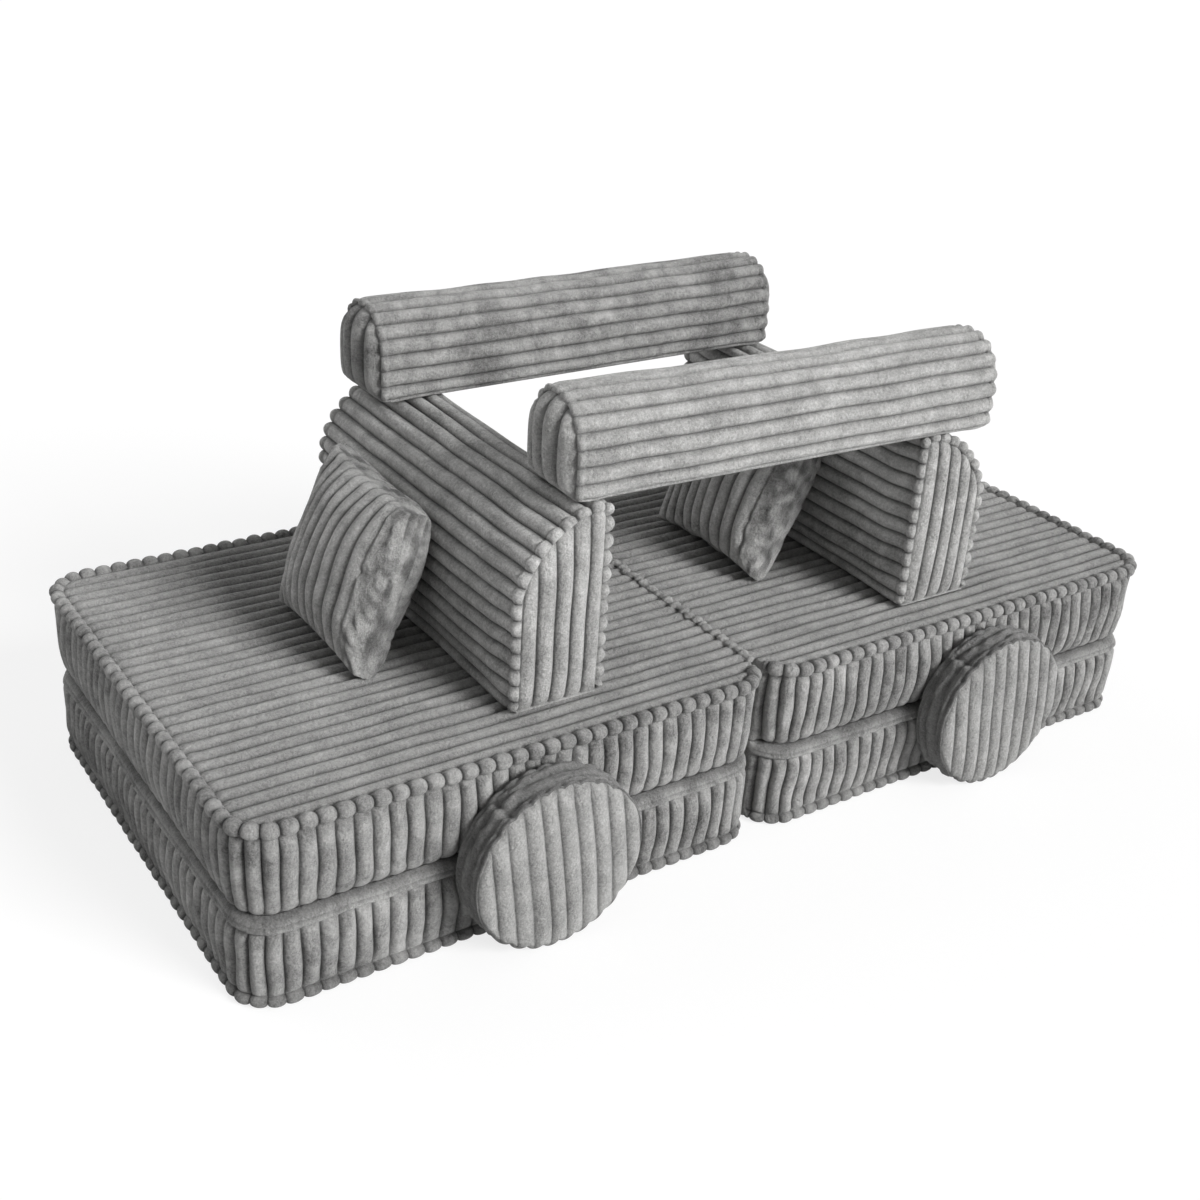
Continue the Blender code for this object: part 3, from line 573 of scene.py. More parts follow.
def tip_edge(full, depth):
    """The ribs end in round finger tips that turn under the pad."""
    lead = lead_in(full, depth, ((0.6, -36), (1.8, -27), (3.2, -19)))
    crest = np.array(((-4.6, -13.0), (-6.4, -8.0), (-9.0, -4.2), (-12.2, -1.8), (-15.0, -0.8)))
    valley = ((-8.8, -15.0), (-9.8, -10.5), (-11.6, -6.6), (-14.0, -4.0), (-15.6, -3.0))
    return lead, between(valley, crest, full), (-16.5, -1.4)


def roll_edge(full, plump, depth):
    """A plain edge: the ribs end in round tips, under one smooth roll along the seam."""
    lead = lead_in(full, depth, ((0.0, -42), (0.2, -36), (0.9, -31.5), (2.8, -28), (5.4, -25.6)))
    path = np.array(((-8.0, -24.2), (-6.0, -22.2), (-2.2, -20.4), (-0.4, -17.4), (-1.0, -14.6),
                     (-2.9, -12.8), (-2.4, -10.4), (-4.2, -6.8), (-8.4, -3.8), (-14.0, -1.6)))
    out = path[:, 0] - 1.3 * (1 - plump[:, None])
    rise = rows_of(path[:, 1], len(full))
    return lead, (out * MM, rise * MM), (-16.5, -1.4)


def knuckle_edge(full, size, depth):
    """Each rib of a wedge ends in a small knuckle where it meets the end panel's seam."""
    crest = curl((-7.0, -7.4), 7.8 * size, -72, 150, 10)
    valley = ((-depth / MM, -16.0), (-7.6, -11.0), (-8.6, -7.4), (-11.0, -5.6), (-13.4, -5.0))
    lead = lead_in(full, depth, ((0.0, -32), (0.3, -25), (1.2, -19.5), (2.4, -16.4)))
    return lead, between(valley, crest, full), (-14.2, -5.0)


def rounded_edge(full, size, depth):
    """The ribs of a roof bar turn well over its end."""
    crest = np.array(((-1.7, -13.4), (-0.9, -10.4), (-2.0, -7.6), (-4.8, -5.8), (-8.4, -6.2)))
    valley = ((-8.6, -18.0), (-8.2, -12.5), (-8.4, -9.0), (-9.2, -7.6), (-9.8, -7.2))
    lead = lead_in(full, depth, ((0.0, -46), (0.0, -36), (0.2, -27), (1.2, -20.5), (2.4, -16.4)))
    return lead, between(valley, crest * size[:, None, None], full), (-10.2, -7.0)


def plain_edge(count):
    """A wheel's edge, which turns in to the seam without beads."""
    path = np.array(((-1.8, -12.0), (-0.6, -10.2), (0.0, -8.4), (-0.2, -6.8), (-0.8, -5.6))) * MM
    out, rise = (rows_of(path[:, k], count) for k in range(2))
    return (out[:, :1], rise[:, :1]), (out[:, 1:], rise[:, 1:]), (-1.8, -4.8)


def assemble(low, out, rows, high, height):
    """Puts an edge, the body's rows and another edge together as out and rise."""
    lead, bead, rim = low
    top_lead, top_bead, top_rim = high
    count = len(out)
    ones = np.ones((count, 1)) * MM
    outs = (ones * rim[0], bead[0][:, ::-1], lead[0][:, ::-1],
            np.broadcast_to(out, (count, len(rows))), top_lead[0], top_bead[0], ones * top_rim[0])
    rises = (-ones * rim[1], -bead[1][:, ::-1], -lead[1][:, ::-1], rows_of(rows, count),
             height + top_lead[1], height + top_bead[1], height + ones * top_rim[1])
    return np.hstack(outs), np.hstack(rises)


# Materials

def feed(tree, node, inputs):
    """Sets a node's inputs to values, or links them to other nodes' outputs."""
    for key, value in inputs.items():
        if isinstance(value, bpy.types.NodeSocket):
            tree.links.new(value, node.inputs[key])
        else:
            node.inputs[key].default_value = value


def add_node(tree, kind, output, inputs=None, **settings):
    """Adds a node, and gives the output that is wanted of it."""
    node = tree.nodes.new(kind)
    for key, value in settings.items():
        setattr(node, key, value)
    feed(tree, node, inputs or {})
    return node.outputs[output]


def calculate(tree, operation, first, second):
    return add_node(tree, "ShaderNodeMath", 0, {0: first, 1: second}, operation=operation)


def ramp(tree, source, stops):
    node = tree.nodes.new("ShaderNodeValToRGB")
    while len(node.color_ramp.elements) < len(stops):
        node.color_ramp.elements.new(0.5)
    for element, (place, level) in zip(node.color_ramp.elements, stops):
        element.position = place
        element.color = (level, level, level, 1)
    feed(tree, node, {"Fac": source})
    return node.outputs["Color"]


def noise(tree, vector, scale, detail, roughness, distortion=0.0):
    return add_node(tree, "ShaderNodeTexNoise", "Fac",
                    {"Vector": vector, "Scale": scale, "Detail": detail,
                     "Roughness": roughness, "Distortion": distortion})


def pattern(tree, spread, *looks):
    """Noise that goes from 0 to 1 within a spread round its middle."""
    return ramp(tree, noise(tree, *looks), ((0.5 - spread, 0.0), (0.5 + spread, 1.0)))


def add(tree, first, second):
    return calculate(tree, "ADD", first, second)


def times(tree, first, second):
    return calculate(tree, "MULTIPLY", first, second)


def weighed(tree, source, amount):
    """A pattern round 0, as strong as its amount."""
    return times(tree, calculate(tree, "SUBTRACT", source, 0.5), amount)


def new_material(name):
    material = bpy.data.materials.new(name)
    material.use_nodes = True
    tree = material.node_tree
    place = add_node(tree, "ShaderNodeTexCoord", "Object")
    return material, tree, tree.nodes["Principled BSDF"], place


def add_finish(tree, shader, factor, dark, light, height, strength, distance, looks, clamp):
    """Colours the shader between two shades, and gives it its grain."""
    colour = add_node(tree, "ShaderNodeMix", "Result", {"Factor": factor, "A": dark, "B": light},
                      data_type="RGBA", clamp_factor=clamp)
    grain = add_node(tree, "ShaderNodeBump", "Normal",
                     {"Strength": strength, "Distance": distance, "Height": height})
    feed(tree, shader, dict(looks, **{"Base Color": colour, "Normal": grain}))


def plush_material(name, shade, blotch, valley_shade=0.24):
    """Short-pile plush: brushed patches, streaks along the ribs, painted shade in the gaps and a
    fine nap.
    """
    material, tree, shader, place = new_material(name)
    full, brushed = (add_node(tree, "ShaderNodeAttribute", "Fac", attribute_name=key)
                     for key in ("full", "brushed"))
    grain = add_node(tree, "ShaderNodeAttribute", "Vector", attribute_name="grain")
    along = add_node(tree, "ShaderNodeMapping", "Vector", {"Vector": grain, "Scale": (150, 14, 3)})

    wide = pattern(tree, 0.16, place, 7, 4, 0.55)
    patches = pattern(tree, 0.12, place, 24, 5, 0.6, 0.6)
    streaks = pattern(tree, 0.18, along, 1, 3, 0.6)
    nap = pattern(tree, 0.14, place, 210, 5, 0.75)
    pile = pattern(tree, 0.10, place, 460, 3, 0.7)
    fleck = noise(tree, place, 900, 2, 0.5)
    clump = noise(tree, place, 150, 4, 0.7)

    tone = add(tree, weighed(tree, wide, 0.22 * blotch), weighed(tree, patches, 0.26 * blotch))
    tone = times(tree, tone, brushed)
    for part, amount in ((streaks, 0.18), (nap, 0.34), (pile, 0.24)):
        tone = add(tree, tone, weighed(tree, part, amount))
    # Painted shade: the full attribute darkens the plush in the rib valleys, creases and gaps,
    # down to valley_shade.
    valley = ramp(tree, full, ((0.0, valley_shade), (0.34, 0.42 + 0.58 * valley_shade), (0.68, 0.87 + 0.13 * valley_shade),
                              (0.95, 1.0)))
    tone = times(tree, add(tree, tone, 1.0), valley)
    height = add(tree, times(tree, nap, 0.7), times(tree, fleck, 0.5))
    height = add(tree, height, times(tree, clump, 2.6))
    add_finish(tree, shader, tone, (0, 0, 0, 1), (shade, shade * 0.995, shade * 0.975, 1),
               height, 0.9, 2.4 * MM, {"Roughness": 0.92, "Specular IOR Level": 0.15,
                                       "Sheen Weight": 0.22, "Sheen Roughness": 0.45}, False)
    return material


def speckled_material(name, colour, roughness, scale, contrast, bump_depth, metallic=0.0):
    """A fine-grained finish for what is under the covers: foam, fibre, zip tape and metal."""
    material, tree, shader, place = new_material(name)
    speck = noise(tree, place, scale, 4, 0.65)
    dark, light = (tuple(min(c * side, 1) for c in colour) + (1,)
                   for side in (1 - contrast, 1 + contrast))
    add_finish(tree, shader, speck, dark, light, speck, 0.5, bump_depth,
               {"Roughness": roughness, "Metallic": metallic}, True)
    return material


PLUSH = plush_material("ribbed_plush", 0.372, 2.0)
BRUSHED = plush_material("ribbed_plush_brushed", 0.46, 1.5)
# A paler copy of the plush for the front roof bar: painted light, as if more light fell on it than
# on the back bar.
PLUSH_PAINTED_LIT = plush_material("ribbed_plush_painted_lit", 0.54, 1.1, 0.42)
# A paler copy of the plush for the wedges: painted light on their shaded sides.
PLUSH_WEDGE_PAINTED_LIT = plush_material("ribbed_plush_wedge_painted_lit", 0.53, 1.3)
BRUSHED_DISC = plush_material("ribbed_plush_disc", 0.44, 1.0, 0.36)
# A darker copy of the plush for the back roof bar: painted shade.
PLUSH_PAINTED_SHADE = plush_material("ribbed_plush_painted_shade", 0.355, 2.0, 0.38)
FOAM = speckled_material("core_foam", (0.80, 0.75, 0.60), 0.9, 600, 0.12, 0.6 * MM)
FIBRE = speckled_material("fibre_filling", (0.86, 0.86, 0.84), 0.95, 160, 0.10, 1.0 * MM)
TAPE = speckled_material("zip_tape", (0.16, 0.16, 0.16), 0.8, 1500, 0.30, 0.2 * MM)
METAL = speckled_material("zip_slider", (0.42, 0.42, 0.43), 0.38, 300, 0.05, 0.05 * MM, 0.7)


def finish_piece(name, cover, matrix, body, node, plush, lowest=None):
    """Makes the piece, stands it for its plain solid, and lets it ride on its body.

    A cushion is flattened where it would go below the lowest height.
    """
    mesh = cover.mesh(name, matrix)
    if lowest is not None:
        co = np.empty(len(mesh.vertices) * 3)
        mesh.vertices.foreach_get("co", co)
        co[2::3] = np.maximum(co[2::3], lowest)
        mesh.vertices.foreach_set("co", co)
        mesh.update()
    mesh.materials.append(plush)
    obj = bpy.data.objects.new(name, mesh)
    bpy.context.scene.collection.objects.link(obj)
    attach(obj, body)
    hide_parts(node)


# Irregular ribs

def ribs_round(outline):
    """Columns of points for the ribs round an outline, how full and in which rib each is."""
    ribs = round(outline.length / RIB_PITCH)
    places, full = rib_columns(ribs, True)
    return places / ribs * outline.length, full, np.floor(places)


def uneven_ends(number, amount, seed):
    """How large the end of each rib is, round 1."""
    return 1 + amount * drift(np.column_stack((number, number * 0)), 2.3, seed)


def uneven_ribs(s, number, rise, seed, short, long, side):
    """How far each point bulges and sways. The last three give millimetres and a drift's size."""
    where = fields((number * RIB_PITCH)[:, None], rise)
    bulge = short[0] * drift(where, short[1], seed + 7) + long[0] * drift(where, long[1], seed + 8)
    return bulge * MM, side[0] * MM * drift(fields(s[:, None], rise), side[1], seed + 9)


# Mattress pads

def joined_side(full, rise, height):
    """The band where two pads meet: shallow ribs, whose top runs on into the hinge seam."""
    hollow = (1 - full)[:, None]
    near_top = (0, 3 * MM, 8 * MM)
    fall = np.clip(height - rise, 0, height)
    out = np.interp(fall, near_top, (-2.5 * MM, -0.8 * MM, 0)) - 2.0 * MM * hollow
    rank = np.linspace(0, 1, rise.shape[1])
    first = 1 - BEAD_ROWS / rise.shape[1]
    top_rise = height - 20 * MM + (rank - first) / (1 - first) * 17 * MM
    rise = np.where(rank > first, top_rise, rise)
    top = np.interp(height - rise, near_top, (-3 * MM, -1.5 * MM, 0)) - 1.5 * MM * hollow
    return np.where(rank > first, top, out), rise


def build_pad(name, side, flipped, body, swell, lively, seed):
    """One pad, built upright with its joined side at -X. A flipped one is turned over."""
    outline = Outline(pad_outline())
    s, full, number = ribs_round(outline)
    points, normals = outline.at(s)
    joined = smooth((-normals[:, 0] - 0.93) / 0.06)[:, None]
    height, depth = PAD_THICKNESS, BAND_RIB_DEPTH
    if flipped:
        low = roll_edge(full, 0.5 + 0.5 * drift(points, 0.10, seed + 6), depth)
    else:
        low = tip_edge(full, depth)
    high = bead_edge(full, uneven_ends(number, 0.05, seed + 5), depth, not flipped)
    slot_rows = np.array((-1.04, -0.96, 0.0, 0.96, 1.04)) * SLOT_HALF_WIDTH + height / 2
    plain_rows = np.linspace(42 * MM, height - 38 * MM, 7)[1:-1]
    clear = np.abs(plain_rows - height / 2) > 1.5 * SLOT_HALF_WIDTH
    rows = np.sort(np.concatenate((slot_rows, plain_rows[clear])))
    out, rise = assemble(low, -depth * (1 - full)[:, None], rows, high, height)
    start = smooth((rise - 4 * MM) / (16 * MM))
    middle = start * smooth((height - 19 * MM - rise) / (14 * MM))
    uneven, sway = uneven_ribs(s, number, rise, seed, (0.7, 0.07), (1.2, 0.25), (lively, 0.085))
    out += PLUMP * start + middle * uneven
    plain_out, plain_rise = joined_side(full, rise, height)
    out = out * (1 - joined) + plain_out * joined
    rise = rise * (1 - joined) + plain_rise * joined

    grid, under, ways = strip(outline, s[:, None] + middle * sway, out, rise)
    bulge = read_band(swell, outline, s, rise, height)
    grid += bulge * (1 - 0.8 * joined)[..., None] * (1, 1, 0)
    clear_core(grid, under, ways, rise, height)
    slotted = (joined > 0.99) & (np.abs(points[:, 1]) < PAD_SLOT_HALF)[:, None]
    slotted = slotted & (np.abs(rise - height / 2) < SLOT_HALF_WIDTH)
    grid[..., 0] = np.where(slotted, -PAD_LENGTH / 2 + SLOT_DEPTH, grid[..., 0])
    grid[..., 2] = np.clip(grid[..., 2], 0.0, height if flipped else None)

    # Painted shade: the rib valleys are darker, and on a lower pad the roll under the upper pad's
    # overhang and the bead row along the floor are painted dark.
    shade = np.repeat(full[:, None], out.shape[1], axis=1)
    if flipped:
        shade[:, :ROLL_ROWS] = np.interp(np.arange(ROLL_ROWS), (0, 2, 4, 5, 7, 10),
                                         (0.15, 0.34, 0.62, 0.40, 0.72, 0.60))
        shade[:, -BEAD_ROWS:] *= 0.55
    shade = shade * (1 - joined) + 0.9 * joined
    cover = Cover()
    band = cover.panel(grid, shade, fields(s[:, None], rise, number[:, None]), closed=True)
    common = {"pitch": RIB_PITCH, "spacing": 24 * MM, "uneven": 0.0, "turned": True}
    bottom = dict(common, sign=-1, level=0.0, depth=3.5 * MM, edge=6 * MM, dip=1.0 * MM)
    top = dict(common, sign=1, edge=10 * MM, dip=2.6 * MM, faint=0.24, soft=1.35, brushed=0.4,
               level_from=PAD_LENGTH / 2 - 25 * MM)
    if flipped:
        top.update(depth=3.0 * MM, level=height - 1.5 * MM)
    else:
        top.update(depth=5.8 * MM, deeper=2.8 * MM, level=height - 0.5 * MM, spacing=12 * MM,
                   uneven=0.5 * MM)
    for column, part, rising, spec, step in ((-1, 2, 0.05, top, 20), (0, 1, 0, bottom, 40)):
        rim = grid[:, column, :2] - ways[:, column] * SEAM_IN
        loop = cap(cover, rim, swell[part] * (1, 1, rising), seed + step, **spec)
        cover.sew(band[:, column], loop)
    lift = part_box(name + "_cover")[0].z + (height if flipped else 0)
    flip = Matrix.Diagonal((side, 1, -1 if flipped else 1, 1))
    matrix = Matrix.Translation((side * PAD_CENTRE_X, PAD_CENTRE_Y, lift)) @ flip
    finish_piece(name + "_cushion", cover, matrix, body, name + "_cover", PLUSH)


# Wedges and roof bars

def on_centre(low, high, z):
    """Stands a piece over the middle of a box, at the given height."""
    return Matrix.Translation(((low.x + high.x) / 2, (low.y + high.y) / 2, z))


def standing(mirror):
    """Turns a section's second axis up, and mirrors the first one if mirror is -1."""
    return Matrix(((mirror, 0, 0, 0), (0, 0, 1, 0), (0, 1, 0, 0), (0, 0, 0, 1)))


def build_loft(name, section, length, edge, place, swell, seed, slot_half, plush, fill, tuck,
               **ends):
    """A cushion of one section all along, on a flat base whose ends are tucked in."""
    outline = Outline(section)
    s, full, number = ribs_round(outline)
    points, normals = outline.at(s)
    base = smooth((-normals[:, 1] - 0.55) / 0.35)[:, None]
    full = full + (1 - full) * 0.75 * base[:, 0]
    beads = uneven_ends(number, 0.06, seed + 5)
    depth = BODY_RIB_DEPTH
    low = edge(full, beads, depth)
    high = edge(full, beads * (1 + 0.04 * np.sin(number)), depth)
    rows = np.linspace(46 * MM, length - 46 * MM, int(length / (11 * MM)))[1:-1]
    out, rise = assemble(low, -depth * (1 - full)[:, None], rows, high, length)

    # Both ends of the base are plain
    ending = 14 * MM, 25 * MM
    lively = (smooth((rise - ending[0]) / ending[1])
              * smooth((length - ending[0] - rise) / ending[1]) * (1 - base))
    count = high[0][0].shape[1] + high[1][0].shape[1] + 1
    share = np.linspace(0, 1, count)
    plain_out = np.interp(share, (0, 0.75, 0.9, 1), (0, 0, -0.6, -2.6)) * MM
    plain_rise = np.interp(share, (0, 0.75, 0.9, 1), (-40, -9, -4, -2.4)) * MM
    out[:, -count:] += (plain_out - out[:, -count:]) * base
    rise[:, -count:] += (length + plain_rise - rise[:, -count:]) * base
    out[:, :count] += (plain_out[::-1] - out[:, :count]) * base
    rise[:, :count] += (-plain_rise[::-1] - rise[:, :count]) * base

    uneven, sway = uneven_ribs(s, number, rise, seed, (0.6, 0.12), (0.7, 0.3), (0.6, 0.13))
    high_up = smooth(points[:, 1] / (0.9 * points[:, 1].max()))[:, None]
    out += (PLUMP + MM * high_up) * (1 - base) + lively * uneven
    grid, under, ways = strip(outline, s[:, None] + lively * sway, out, rise)
    grid += read_band(swell, outline, s, rise, length)
    clear_core(grid, under, ways, rise, length)
    near_end = np.minimum(rise, length - rise)
    grid[..., 1] = (np.maximum(grid[..., 1], 0.0)
                    + tuck * base * (1 - smooth(near_end / (30 * MM))))
    grid[..., 2] += (np.sign(length / 2 - rise) * tuck * base
                     * (1 - smooth(near_end / (12 * MM))))
    slotted = (points[:, 1] < 1 * MM) & (np.abs(points[:, 0]) < SLOT_HALF_WIDTH + 2 * MM)
    slotted = slotted[:, None] & (np.abs(rise - length / 2) < slot_half)
    grid[..., 1] = np.where(slotted, SLOT_DEPTH, grid[..., 1])
    grid[..., 2] -= length / 2

    cover = Cover()
    grain = fields(s[:, None], rise, number[:, None])
    # The ribs' valleys carry painted shade in the full attribute.
    band = cover.panel(grid, full[:, None], grain, closed=True)
    for column, sign, part in ((0, -1, 1), (-1, 1, 2)):
        rim = grid[:, column, :2] - ways[:, column] * SEAM_IN
        loop = cap(cover, rim, swell[part], seed + 20 * part, sign=sign, level=sign * length / 2,
                   spacing=10 * MM, depth=END_RIB_DEPTH, edge=12 * MM, **ends)
        cover.sew(band[:, column], loop)
    finish_piece(name + "_cushion", cover, place, name, name + "_cover", plush)


# Wheel discs

def build_wheel(name, swell, seed):
    """A disc with a crumpled band of three rolls. Its ribs' ends notch both of its rims."""
    outline = Outline(wheel_outline())
    s = np.arange(WHEEL_COLUMNS) / WHEEL_COLUMNS * outline.length
    turn = s / outline.length * 2 * math.pi
    radius, thick = WHEEL_DIAMETER / 2, WHEEL_THICKNESS
    rows = np.linspace(12 * MM, thick - 12 * MM, 20)[1:-1]
    round_turn = np.column_stack((np.cos(turn), np.sin(turn)))
    lean = 0.10 * drift(round_turn, 1.2, seed + 1)
    rolls = rib_full((rows[None, :] / thick + lean[:, None]) * WHEEL_ROLLS)
    around = fields(np.cos(turn)[:, None], np.sin(turn)[:, None], rows * 12)
    out = -WHEEL_ROLL_DEPTH * (1 - rolls)
    out += 1.6 * MM * drift(around, 0.35, seed + 2) + 1.0 * MM * drift(around, 0.12, seed + 3)
    # The band's own join, a puckered seam across it
    from_join = ((turn - WHEEL_JOIN_TURN + math.pi) % (2 * math.pi) - math.pi) * radius
    join = np.exp(-(from_join / (4 * MM)) ** 2)
    ridge = np.exp(-((from_join - 9 * MM) / (6 * MM)) ** 2)
    out += (-4.5 * join + 2.2 * ridge)[:, None] * MM
    edge = plain_edge(len(s))
    out, rise = assemble(edge, out, rows, edge, thick)
    for rim, tilt in ((slice(0, WHEEL_EDGE_ROWS), WHEEL_RIB_TILT),
                      (slice(-WHEEL_EDGE_ROWS, None), 0.0)):
        place = np.cos(turn - tilt) * (radius - 7 * MM) / RIB_PITCH * 1.02 + 0.5
        notch = (1 - rib_full(place)) * smooth(2.2 * np.abs(np.sin(turn - tilt)) - 0.6)
        out[:, rim] -= WHEEL_NOTCH_DEPTH * notch[:, None]
    grid = strip(outline, s[:, None], out, rise)[0] + read_band(swell, outline, s, rise, thick)
    grid[..., 2] -= thick / 2
    # The band is painted much darker than the faces, with painted shade in the rolls' valleys.
    full = np.full(out.shape, 0.3)
    full[:, WHEEL_EDGE_ROWS:-WHEEL_EDGE_ROWS] = rolls
    cover = Cover()
    band = cover.panel(grid, 0.02 + 0.24 * full, fields(rise, s[:, None], 0.0), closed=True)
    zip_slot = WHEEL_SLOT_HALF, SLOT_HALF_WIDTH + 2 * MM
    for column, sign, part, tilt, slot in ((0, -1, 1, WHEEL_RIB_TILT, None),
                                           (-1, 1, 2, 0.0, zip_slot)):
        rim = grid[:, column, :2] * (1 - SEAM_IN / radius)
        loop = cap(cover, rim, swell[part], seed + 20 * part, sign=sign, level=sign * thick / 2,
                   pitch=RIB_PITCH, spacing=6 * MM, depth=4.6 * MM, deeper=3.0 * MM,
                   edge=10 * MM, dip=4.8 * MM, crown=3 * MM, soft=1.3, faint=0.22, tilt=tilt,
                   slot=slot)
        cover.sew(band[:, column], loop)
    low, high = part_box(name + "_cover")
    matrix = on_centre(low, high, high.z - radius) @ standing(1)
    finish_piece(name + "_cushion", cover, matrix, name, name + "_cover", BRUSHED_DISC,
                 lowest=0.0)


# Pillows

def pillow_face(a, u):
    """Thickness, width and height of a plain pillow's face, at -1 to 1 across and up it."""
    half = PILLOW_SIDE / 2
    corner = smooth((np.abs(a) + np.abs(u) - 1.35) / 0.65)
    drawn = 1 - np.where((a < 0) & (u > 0), 0.10, 0.0) * corner
    y = a * (half - PILLOW_DRAW_IN * (1 - u * u)) * drawn
    z = u * (half - PILLOW_DRAW_IN * 1.6 * (1 - a * a)) * drawn
    swell = ((1 - a * a) * (1 - u * u)) ** 0.46
    return PILLOW_EDGE / 2 + (PILLOW_THICKNESS - PILLOW_EDGE) / 2 * swell, y, z


def pillow_swell():
    """Blows up a plain pillow that is held round its two seams."""
    cover = Cover()
    a, u = np.meshgrid(np.linspace(-1, 1, 15), np.linspace(-1, 1, 15), indexing="ij")
    x, y, z = pillow_face(a, u)
    x = x - 4 * MM * (1 - a * a) * (1 - u * u)
    faces = []
    for side in (-1, 1):
        grid = fields(side * x, y, z)
        faces.append(cover.panel(grid, 0, np.zeros(grid.shape)))
    seams = [border(face) for face in faces]
    cover.bridge(*seams)
    held = np.zeros(cover.count, bool)
    held[seams] = True
    shift = blow_up(cover, held, 6 * MM)
    return shift[faces[0]], shift[faces[1]]


def build_pillow(name, lean, swells, seed):
    """Two ribbed faces and a belt between them, crushed along the zip's side."""
    ribs = max(round((PILLOW_SIDE - 2 * PILLOW_DRAW_IN) / RIB_PITCH), 3)
    places, full = rib_columns(ribs, False)
    full = full[:, None]
    number = np.floor(places - 1e-9)[:, None]
    up = np.sin(np.linspace(-1, 1, 81) * math.pi / 2)
    a, u = np.meshgrid(places / ribs * 2 - 1, up, indexing="ij")
    edge = np.minimum(1 - np.abs(a), 1 - np.abs(u))
    bare = smooth((0.24 - (1 + a)) / 0.08)
    depth = 7.4 * MM * (0.35 + 0.65 * smooth(edge / 0.15)) * (1 - 0.9 * bare)
    cover = Cover()
    loops = []
    for side, swell in zip((-1, 1), swells):
        thick, y, z = pillow_face(a, u)
        flat = fields(y, z)
        fat = drift(fields(number * 0.4, z * 5), 1.5, seed + side)
        x = thick - depth * (1 - full) + 0.6 * MM * fat
        x += 1.6 * MM * drift(flat, 0.075, seed + 3 + side) * smooth(edge / 0.10)
        # The plush is crushed into lumps and creases along the zip
        lumps = np.abs(drift(flat * (1.0, 0.6), 0.050, seed + 5 + side, 5))
        lumps += 0.55 * np.abs(drift(flat * (1.0, 0.5), 0.017, seed + 6 + side, 5))
        crush = 6.5 * MM * np.clip(1.0 - lumps, 0, 1) - 1.0 * MM
        x -= crush * bare * smooth(edge / 0.06)
        y = y + 1.4 * MM * drift(flat * (1, 0.6), 0.09, seed + 7 + side) * smooth(edge / 0.25)
        grid = fields(side * x, y, z) + read_grid(swell, (a + 1) / 2, (u + 1) / 2, False)
        # Painted shade: darker in the rib valleys, and along the zip in the creases between the
        # crushed lumps.
        shade = (0.15 + 0.85 * full) * (1 - bare) + np.clip(0.04 + 0.72 * lumps, 0.04, 1) * bare
        loops.append(border(cover.panel(grid, shade, fields(y, z, number))))

    first, last = (np.vstack(cover.points)[loop] for loop in loops)
    shares = np.array((0.10, 0.28, 0.44, 0.5, 0.56, 0.72, 0.90))[:, None]
    belt = first[:, None, :] * (1 - shares) + last[:, None, :] * shares
    outward = belt * (0, 1, 1)
    outward /= np.linalg.norm(outward, axis=-1)[..., None]
    shares = shares[:, 0]
    arch = 1 - (2 * shares - 1) ** 2
    bow = 3.5 * MM * arch - 2.6 * MM * np.exp(-((shares - 0.5) / 0.04) ** 2)
    belt += outward * (bow + 2.2 * MM * drift(belt, 0.03, seed + 11) * arch)[..., None]
    slot = (belt[..., 1] > 0.100) & (np.abs(belt[..., 2]) < PILLOW_SLOT_HALF)
    slot &= np.abs(belt[..., 0]) < SLOT_HALF_WIDTH
    belt[..., 1] = np.where(slot, PILLOW_SIDE / 2 - PILLOW_DRAW_IN - SLOT_DEPTH, belt[..., 1])
    belt_full = np.clip(0.42 + 0.40 * drift(belt, 0.03, seed + 12), 0.08, 1)
    index = cover.panel(belt, belt_full, belt, closed=True)
    cover.bridge(loops[0], index[:, 0])
    cover.bridge(loops[1], index[:, -1])
    low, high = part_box(name + "_filling")
    matrix = Matrix.Translation((low + high) / 2) @ Matrix.Rotation(lean, 4, "Y")
    finish_piece(name + "_cushion", cover, matrix, name, name + "_cover", BRUSHED,
                 lowest=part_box(name + "_cover")[0].z)


# Hinge seams

def build_hinge_seam(name, body, proud, seed):
    """The puckered ridge where two pads are sewn together."""
    low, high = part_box(name)
    rows = int((high.y - low.y) / (1.6 * MM))
    y = np.linspace(low.y, high.y, rows)
    turns = np.arange(12) / 12 * 2 * math.pi
    fat = np.clip(1.30 + 0.34 * drift(y[:, None], 0.016, seed), 0.8, 1.9)
    fat[0], fat[-1] = 0.15 * fat[0], 0.15 * fat[-1]
    radius = (high.x - low.x) / 2 * fat[:, None]
    side = 1.9 * MM * drift(y[:, None], 0.045, seed + 1)
    lift = proud * (0.8 + 0.3 * drift(y[:, None], 0.024, seed + 2))
    lift *= smooth(np.minimum(y - low.y, high.y - y) / (25 * MM))
    middle = (low.z + high.z) / 2 + lift
    grid = fields(side[:, None] + 1.15 * radius * np.cos(turns), y[:, None],
                  np.maximum(middle[:, None] + 0.75 * radius * np.sin(turns), 0.0))
    grid = grid.transpose(1, 0, 2)
    cover = Cover()
    index = cover.panel(grid, 1.0, grid, closed=True)
    cover.faces += [index[:, 0].tolist(), index[:, -1].tolist()]
    finish_piece(name + "_ridge", cover, None, body, name, PLUSH)


# The studio

